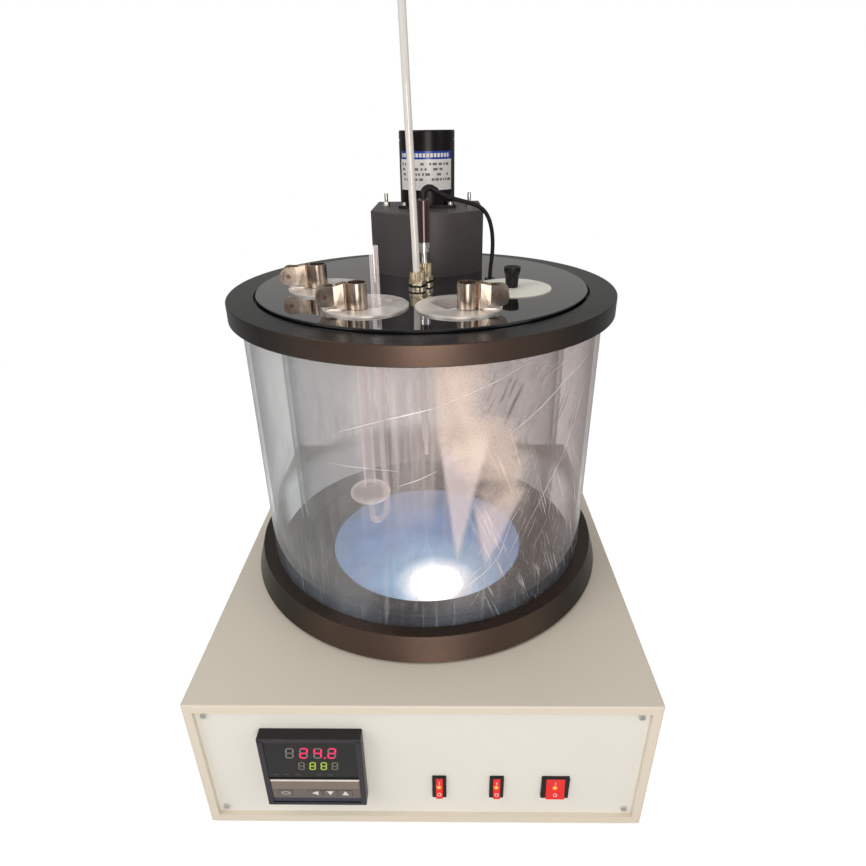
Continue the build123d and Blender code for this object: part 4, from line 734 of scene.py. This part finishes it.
for band_name, (top, bottom) in BANDS.items():
    band(band_name, [rectangle(0, (top + bottom) / 2, BAND_WIDTH, top - bottom)])
key_rows = [rectangle(0, -25.4, BAND_WIDTH, 1.6), rectangle(0, -36.55, BAND_WIDTH, 3.2)]
key_edges = [-BAND_WIDTH / 2]
for key in KEYS:
    key_x = middle(key)[0] - CONTROLLER_X
    key_edges += [key_x - KEY_HALF_SLOT, key_x + KEY_HALF_SLOT]
key_edges.append(BAND_WIDTH / 2)
for left_edge, right_edge in zip(key_edges[::2], key_edges[1::2]):
    key_rows.append(rectangle((left_edge + right_edge) / 2, KEY_ROW, right_edge - left_edge, KEY_ROW_HEIGHT))
band("grey", key_rows)

key_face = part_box("set_key")[0][1] / MM
ARROWS = {
    "shift_key": [(-3.4, 0.0), (3.0, -3.0), (3.0, 3.0)],
    "down_key": [(0.0, -3.0), (3.4, 3.0), (-3.4, 3.0)],
    "up_key": [(-3.4, -3.0), (3.4, -3.0), (0.0, 3.0)],
}


def key_mark(key, outlines):
    """Mark on a key's face."""
    prisms(f"{key}_mark", outlines, key_face - BAND_STAND, key_face + SUNK, M["mark_white"],
           key.replace("key", "button"))


for key, corners in ARROWS.items():
    key_x, _, key_z = middle(key)
    key_mark(key, [[(key_x + x, key_z + z) for x, z in corners]])
key_mark("set_key", ring(middle("set_key")[0] - CONTROLLER_X, KEY_ROW, 8.6, 4.2, 0.5))

# Marks on the rockers
ROCKER_TILT = math.radians(-10.0)
ROCKER_HALF = 12.27
VALLEY_DEPTH = 3.4
ROCKER_CROWN = 0.9
BAR_HALF_WIDTH = 0.35
BAR_ENDS = (4.4, 8.2)
RING_PLACE = -7.4
RING_RADII = (2.0, 1.35)


def rocker_place(x, along, proud):
    """Point on a rocker's face: along is counted upwards from its valley, proud outwards."""
    depth = -VALLEY_DEPTH - ROCKER_CROWN * abs(along) / ROCKER_HALF - proud
    y = depth * math.cos(ROCKER_TILT) - along * math.sin(ROCKER_TILT)
    z = depth * math.sin(ROCKER_TILT) + along * math.cos(ROCKER_TILT)
    return x, PIVOT_Y + y, SWITCH_Z + z


def rocker_marks(switch, x):
    """A bar on the upper half and a ring on the lower half."""
    low, high = BAR_ENDS
    corners = ((-BAR_HALF_WIDTH, low), (BAR_HALF_WIDTH, low), (BAR_HALF_WIDTH, high), (-BAR_HALF_WIDTH, high))
    vertices = [rocker_place(x + dx, along, MARK_STAND) for dx, along in corners]
    faces = [(0, 1, 2, 3)]
    steps = 24
    for i in range(steps):
        turn = 2 * math.pi * i / steps
        for radius in RING_RADII:
            along = RING_PLACE + radius * math.sin(turn)
            vertices.append(rocker_place(x + radius * math.cos(turn), along, MARK_STAND))
    for i in range(steps):
        here, after = 4 + 2 * i, 4 + 2 * ((i + 1) % steps)
        faces.append((here, after, after + 1, here + 1))
    mesh_piece(f"{switch}_rocker_marks", vertices, faces, M["mark_white"], f"{switch}_switch")


for switch, switch_x in SWITCHES.items():
    rocker_marks(switch, switch_x)


# Pieces wrapped on round walls

def strip_faces(start, steps):
    """Faces of a strip whose vertices come in pairs from start on."""
    return [(start + 2 * i, start + 2 * i + 2, start + 2 * i + 3, start + 2 * i + 1) for i in range(steps)]


def wrapped(name, centre, radius, strips, material, body):
    """Thin strips on an upright round wall, each (first angle, last angle, low, high)."""
    vertices = []
    faces = []
    for first, last, low, high in strips:
        steps = max(1, round(abs(last - first) / 4))
        start = len(vertices)
        for i in range(steps + 1):
            turn = math.radians(first + (last - first) * i / steps)
            x = centre[0] + radius * math.cos(turn)
            y = centre[1] + radius * math.sin(turn)
            vertices += [(x, y, low), (x, y, high)]
        faces += strip_faces(start, steps)
    mesh_piece(name, vertices, faces, material, body, smooth=True)


# Label of the motor, with plain lines in place of text
LABEL_RADIUS = 30.06
LABEL_MARK_RADIUS = 30.12
LABEL_TURNS = (-156, -30)
LABEL_LOW = 579.6
LABEL_BAND_LOW = 609.8
LABEL_TOP = 617.6
LINE_HEIGHT = 2.4
chance = random.Random(7)


def label(name, radius, strips, material):
    """Part of the motor's label."""
    wrapped(name, DRIVE, radius, strips, material, "lid_set")


label("motor_label", LABEL_RADIUS, [(*LABEL_TURNS, LABEL_LOW, LABEL_BAND_LOW)], M["label_white"])
label("motor_label_band", LABEL_RADIUS, [(*LABEL_TURNS, LABEL_BAND_LOW, LABEL_TOP)], M["label_blue"])
band_marks = [(-150 + 7.5 * i, -144.5 + 7.5 * i, LABEL_BAND_LOW + 2.0, LABEL_TOP - 2.0) for i in range(15)]
label("label_band_marks", LABEL_MARK_RADIUS, band_marks, M["mark_white"])
text_rows = []
for row, line_low in enumerate((604.0, 599.0, 594.0, 589.0)):
    turn = -150.0 + 2 * row
    while turn < -42:
        length = chance.uniform(3.0, 10.0)
        if chance.random() < 0.62:
            text_rows.append((turn, turn + length, line_low, line_low + LINE_HEIGHT))
        turn += length + chance.uniform(2.0, 5.0)
label("label_marks", LABEL_MARK_RADIUS, text_rows, M["mark_dark"])

# Scratches on the outer wall, as widths and runs of (angle, height)
SCRATCH_STAND = 0.12
SHORT_SCRATCHES = 40
SCRATCHES = (
    (0.55, ((-111.3, 411.8), (-102.6, 422.4), (-97.6, 427.8))),
    (1.5, ((-97.6, 427.8), (-91.1, 433.4), (-85.7, 437.6))),
    (0.5, ((-85.7, 437.6), (-77.4, 447.5), (-70.2, 455.3), (-59.7, 467.7))),
    (0.8, ((-67.6, 396.9), (-63.3, 408.6), (-56.4, 420.6), (-45.5, 441.1), (-31.6, 454.6))),
    (1.0, ((-67.2, 271.7), (-62.7, 316.0), (-59.7, 329.6))),
    (0.7, ((-56.3, 352.1), (-54.2, 379.8))),
    (1.1, ((-59.2, 284.6), (-56.9, 304.4), (-49.8, 337.9), (-44.1, 360.3), (-37.4, 398.4), (-33.2, 429.0))),
    (0.7, ((-96.0, 364.2), (-89.5, 372.4), (-84.8, 380.1))),
    (0.45, ((-115.3, 378.8), (-103.5, 380.3), (-95.3, 379.8))),
    (0.9, ((-79.4, 246.1), (-72.1, 261.6), (-68.3, 272.4), (-64.6, 290.7))),
    (0.8, ((-62.7, 279.4), (-59.7, 299.0))),
    (0.8, ((-56.6, 288.3), (-53.5, 308.4))),
    (0.8, ((-53.8, 274.0), (-50.4, 290.3))),
    (0.8, ((-59.2, 301.8), (-57.3, 316.4))),
    (0.8, ((-74.9, 263.7), (-72.2, 271.1))),
)


def scratch_lines(name, runs, radius, material, body):
    """Thin lines on the round wall, tapering to both ends."""
    vertices = []
    faces = []
    for width, places in runs:
        points = []
        for (a0, z0), (a1, z1) in zip(places, places[1:]):
            steps = max(2, round(math.hypot((a1 - a0) * 3.2, z1 - z0) / 4))
            points += [(a0 + (a1 - a0) * i / steps, z0 + (z1 - z0) * i / steps) for i in range(steps)]
        points.append(places[-1])
        start = len(vertices)
        for index, (angle, level) in enumerate(points):
            share = index / (len(points) - 1)
            half = width / 2 * (0.25 + 0.75 * math.sin(math.pi * share)) * chance.uniform(0.6, 1.0)
            turn = math.radians(angle)
            for lift in (-half, half):
                vertices.append((radius * math.cos(turn), radius * math.sin(turn), level + lift))
        faces += strip_faces(start, len(points) - 1)
    mesh_piece(name, vertices, faces, material, body)


short_runs = []
for i in range(SHORT_SCRATCHES):
    angle = chance.uniform(-80.0, -42.0)
    level = chance.uniform(225.0, 350.0)
    rise = chance.uniform(6.0, 20.0)
    short_runs.append((chance.uniform(0.25, 0.6), ((angle, level), (angle + rise * 0.16, level + rise))))
scratch_lines("wall_scratches", SCRATCHES + tuple(short_runs), WALL_RADIUS + SCRATCH_STAND, M["scratch_with_painted_glint"],
              "base")

# Knurls and seals of the two glands, as name, place and top of the knurled collar
GLANDS = (("thermometer", THERMOMETER, 514.0), ("sensor", SENSOR, 519.0))
KNURL_RADIUS = 8.15
KNURL_LOW = 508.4
KNURLS = 30
SEAL_RADIUS = 8.95
for gland, place, top in GLANDS:
    ribs = [(12.0 * i, 12.0 * i + 5.0, KNURL_LOW, top - 0.8) for i in range(KNURLS)]
    wrapped(f"{gland}_gland_knurl", place, KNURL_RADIUS, ribs, M["gland_metal"], "lid_set")
    wrapped(f"{gland}_gland_seal", place, SEAL_RADIUS, [(0, 360, LID_TOP + 2.3, LID_TOP + 4.0)],
            M["black_plastic"], "lid_set")

# Clips, as the direction of their tabs in degrees and the side of the front tab
CLIPS = {1: (184.0, 1), 2: (191.0, 1), 3: (356.0, -1)}
UP = Vector((0, 0, 1))
TAB_ROUND = 7.6
CORNER_STEPS = 8
CUTTER_LENGTH = 70
CUTTER_PAST = 20
CUTTER_HALF_WIDTH = 40
# A tab starts at its root, counted from the spring along the tabs and aside, and runs on outwards
TAB_ROOT = (12.5, 7.0)
TAB_ROOT_RISE = 12.4
TAB_RUN = (15.1, 4.0)
TAB_MARK_STAND = 0.68
TAB_MARK_RADIUS = 2.1
TAB_MARK_STEPS = 20
TAB_BAR_AWAY = 5.0
TAB_BAR = ((-0.4, -3.0), (0.4, -3.0), (0.4, 3.0), (-0.4, 3.0))


def clip_axes(direction):
    """Directions along a clip's tabs and across them."""
    along = Vector((math.cos(math.radians(direction)), math.sin(math.radians(direction)), 0.0))
    return along, Vector((-along.y, along.x, 0.0))


def rounded_leaf(n, which, direction):
    """The clip's leaf with the two corners of its tab rounded off."""
    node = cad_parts[f"clip_{n}_{which}_leaf"]
    along, across = clip_axes(direction)
    spots = [vertex.co / MM for vertex in node.data.vertices]
    end = max(spot.dot(along) for spot in spots)
    tab = [spot for spot in spots if spot.dot(along) > end - 1.5]
    low = min(spot.z for spot in tab)
    high = max(spot.z for spot in tab)
    aside = sum(spot.dot(across) for spot in tab) / len(tab)
    start = end - TAB_ROUND
    outline = [(end - CUTTER_LENGTH, low - CUTTER_PAST), (start, low - CUTTER_PAST)]
    for centre_z, first in ((low + TAB_ROUND, -90), (high - TAB_ROUND, 0)):
        for i in range(CORNER_STEPS + 1):
            turn = math.radians(first + 90 * i / CORNER_STEPS)
            reach = (TAB_ROUND + 0.01) * math.cos(turn)
            outline.append((start + reach, centre_z + TAB_ROUND * math.sin(turn)))
    outline += [(start, high + CUTTER_PAST), (end - CUTTER_LENGTH, high + CUTTER_PAST)]
    vertices, faces = prism(outline, aside - CUTTER_HALF_WIDTH, aside + CUTTER_HALF_WIDTH)
    cutter_mesh = bpy.data.meshes.new("cutter")
    cutter_mesh.from_pydata([(along * a + across * b + UP * z) * MM for a, b, z in vertices], [], faces)
    cutter = bpy.data.objects.new("cutter", cutter_mesh)
    trial = bpy.data.objects.new("trial", node.data.copy())
    for thing in (cutter, trial):
        scene.collection.objects.link(thing)
    cut = trial.modifiers.new("cut", "BOOLEAN")
    cut.operation = "INTERSECT"
    cut.solver = "EXACT"
    cut.object = cutter
    bpy.context.view_layer.update()
    mesh = bpy.data.meshes.new_from_object(trial.evaluated_get(bpy.context.evaluated_depsgraph_get()))
    bpy.data.objects.remove(trial)
    bpy.data.objects.remove(cutter)
    mesh.shade_smooth()
    mesh.set_sharp_from_angle(angle=math.radians(30))
    mesh.materials.clear()
    mesh.materials.append(M["clip_steel"])
    piece = bpy.data.objects.new(f"clip_{n}_{which}_rounded", mesh)
    scene.collection.objects.link(piece)
    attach(piece, f"clip_{n}_{which}")
    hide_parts(f"clip_{n}_{which}_leaf")
    even = piece.modifiers.new("even", "WEIGHTED_NORMAL")
    even.weight = 100
    even.keep_sharp = True


def tab_marks(n, which, direction, side):
    """A punched disc and bar on both faces of a tab. side says on which side of the tabs' line it lies."""
    spring_x, spring_y = middle(f"clip_{n}_spring")[:2]
    along, across = clip_axes(direction)
    run = (along * TAB_RUN[0] + across * side * TAB_RUN[1]).normalized()
    inward = Vector((run.y, -run.x, 0.0)) * side
    if inward.dot(across) * side > 0:
        inward = -inward
    root = Vector((spring_x, spring_y, PLATE_TOP + TAB_ROOT_RISE))
    root += along * TAB_ROOT[0] + across * side * TAB_ROOT[1]
    for face, place in ((1, "in"), (-1, "out")):
        spot = root + inward * face * TAB_MARK_STAND
        vertices = [spot]
        for i in range(TAB_MARK_STEPS):
            turn = 2 * math.pi * i / TAB_MARK_STEPS
            vertices.append(spot + (run * math.cos(turn) + UP * math.sin(turn)) * TAB_MARK_RADIUS)
        faces = [(0, 1 + i, 1 + (i + 1) % TAB_MARK_STEPS) for i in range(TAB_MARK_STEPS)]
        faces.append(tuple(range(len(vertices), len(vertices) + 4)))
        vertices += [spot + run * (TAB_BAR_AWAY + dx) + UP * dz for dx, dz in TAB_BAR]
        mesh_piece(f"clip_{n}_{which}_mark_{place}", vertices, faces, M["mark_brown"], f"clip_{n}_{which}")


for n, (direction, front_side) in CLIPS.items():
    for which in ("front", "back"):
        rounded_leaf(n, which, direction)
for n, (direction, front_side) in CLIPS.items():
    tab_marks(n, "front", direction, front_side)
    tab_marks(n, "back", direction, -front_side)

# Cable from the sensor's boot to the lid, on the same route as the solid
BOOT_HEADING = math.radians(12.0)
BOOT_TURN = math.radians(122.0)
BOOT_BEND = 6.0
BOOT_FOOT = 3.8
BOOT_END = 5.0
LEAD = 7.0
HANDLE_TOP = 578.5


def from_boot(past_bend):
    """Place on the boot's line, counted from the end of its bend."""
    reach = BOOT_BEND * (1 - math.cos(BOOT_TURN)) + past_bend * math.sin(BOOT_TURN)
    rise = BOOT_FOOT + BOOT_BEND * math.sin(BOOT_TURN) + past_bend * math.cos(BOOT_TURN)
    x, y = SENSOR
    return x + reach * math.cos(BOOT_HEADING), y + reach * math.sin(BOOT_HEADING), HANDLE_TOP + rise


CABLE = [
    from_boot(BOOT_END),
    from_boot(BOOT_END + LEAD),
    (33.0, 1.4, 577.4),
    (45.0, 4.0, 574.2),
    (56.0, 6.6, 570.8),
    (63.5, 8.5, 565.2),
    (68.4, 10.0, 556.5),
    (71.2, 11.2, 546.0),
    (72.4, 12.4, 534.0),
    (72.2, 13.2, 521.6),
    (70.5, 14.5, 506.0),
    (70.5, 14.5, 490.5),
]
curve = bpy.data.curves.new("sensor_cable_line", "CURVE")
curve.dimensions = "3D"
curve.bevel_depth = 2.0 * MM
curve.bevel_resolution = 6
curve.resolution_u = 16
spline = curve.splines.new("NURBS")
spline.points.add(len(CABLE) - 1)
for point, place in zip(spline.points, CABLE):
    point.co = (*(Vector(place) * MM), 1.0)
spline.order_u = 3
spline.use_endpoint_u = True
curve.materials.append(M["cable_rubber"])
cable = bpy.data.objects.new("sensor_cable_line", curve)
scene.collection.objects.link(cable)
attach(cable, "lid_set")
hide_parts("sensor_cable")

# Studio: floor, world, lamps and camera

def sight(tree):
    """1 for the camera's own rays and for those that pass through glass, 0 for all others."""
    path = tree.nodes.new("ShaderNodeLightPath")
    return math_node(tree, "MAXIMUM", path.outputs["Is Camera Ray"], path.outputs["Is Transmission Ray"])


def white_for_sight(name, lit_colour, lit_share):
    """Floor that takes the object's shadow near it and fades to plain white with distance."""
    material, tree, output = new_material(name)
    lit = add(tree, "ShaderNodeBsdfDiffuse")
    lit.inputs["Color"].default_value = (*lit_colour, 1.0)
    seen = sight(tree)
    glow = tree.nodes.new("ShaderNodeEmission")
    tree.links.new(math_node(tree, "MULTIPLY", seen, lit_share), glow.inputs["Strength"])
    both = tree.nodes.new("ShaderNodeAddShader")
    tree.links.new(lit.outputs[0], both.inputs[0])
    tree.links.new(glow.outputs[0], both.inputs[1])
    white = tree.nodes.new("ShaderNodeEmission")
    tree.links.new(seen, white.inputs["Strength"])
    place = tree.nodes.new("ShaderNodeTexCoord")
    gap = tree.nodes.new("ShaderNodeVectorMath")
    gap.operation = "LENGTH"
    tree.links.new(place.outputs["Object"], gap.inputs[0])
    fade = product(tree, step(tree, gap.outputs["Value"], 0.7, 1.8), seen)
    tree.links.new(shader_mix(tree, fade, both.outputs[0], white.outputs[0]), output.inputs["Surface"])
    return material


SPAN = 30.0
floor_mesh = bpy.data.meshes.new("studio_floor")
floor_corners = [(-SPAN, -SPAN, 0), (SPAN, -SPAN, 0), (SPAN, SPAN, 0), (-SPAN, SPAN, 0)]
floor_mesh.from_pydata(floor_corners, [], [(0, 1, 2, 3)])
floor_mesh.materials.append(white_for_sight("floor_white", (0.6, 0.6, 0.6), 0.75))
floor = bpy.data.objects.new("studio_floor", floor_mesh)
scene.collection.objects.link(floor)

world = bpy.data.worlds.new("studio")
scene.world = world
world.use_nodes = True
tree = world.node_tree
tree.nodes.clear()
sky = add(tree, "ShaderNodeBackground", Strength=0.36)
sky.inputs["Color"].default_value = (1.0, 0.985, 0.965, 1.0)
seen_sky = add(tree, "ShaderNodeBackground", Strength=1.0)
seen_sky.inputs["Color"].default_value = (1.0, 1.0, 1.0, 1.0)
out = tree.nodes.new("ShaderNodeOutputWorld")
tree.links.new(shader_mix(tree, sight(tree), sky.outputs[0], seen_sky.outputs[0]), out.inputs["Surface"])


def soft_lamp(name, place, aim, size, power, colour=(1.0, 1.0, 1.0)):
    data = bpy.data.lights.new(name, "AREA")
    data.shape = "RECTANGLE"
    data.size, data.size_y = size
    data.energy = power
    data.color = colour
    lamp = bpy.data.objects.new(name, data)
    lamp.location = place
    lamp.rotation_euler = (Vector(aim) - Vector(place)).to_track_quat("-Z", "Y").to_euler()
    scene.collection.objects.link(lamp)


soft_lamp("key_left", (-1.4, -1.0, 1.5), (0, 0, 0.35), (1.0, 1.0), 13)
soft_lamp("fill_right", (1.6, -0.9, 1.1), (0, 0, 0.3), (0.8, 0.8), 4)
soft_lamp("top", (0.0, 0.3, 2.0), (0, 0, 0.4), (1.2, 1.2), 5)
soft_lamp("front_low", (0.15, -1.9, 0.45), (0, 0, 0.2), (0.9, 0.7), 13, (1.0, 0.93, 0.86))

# Camera, at the place that the photograph gives
YAW = -0.0206
PITCH = 0.462
ROLL = -0.0144
IMAGE_PIXELS = 866.0
SENSOR_WIDTH = 36.0
FOCAL_PIXELS = 606.4
EYE = (22.15, -624.0, 636.35)
forward = Vector((math.sin(YAW) * math.cos(PITCH), math.cos(YAW) * math.cos(PITCH), -math.sin(PITCH)))
level = Vector((math.cos(YAW), -math.sin(YAW), 0.0))
above = level.cross(forward)
right = level * math.cos(ROLL) + above * math.sin(ROLL)
up = -level * math.sin(ROLL) + above * math.cos(ROLL)
lens = bpy.data.cameras.new("camera")
lens.sensor_fit = "HORIZONTAL"
lens.sensor_width = SENSOR_WIDTH
lens.lens = SENSOR_WIDTH * FOCAL_PIXELS / IMAGE_PIXELS
lens.clip_end = 100.0
camera = bpy.data.objects.new("camera", lens)
turned = Matrix((right, up, -forward)).transposed()
camera.matrix_world = Matrix.Translation(Vector(EYE) * MM) @ turned.to_4x4()
scene.collection.objects.link(camera)
scene.camera = camera

scene.view_settings.view_transform = "Standard"
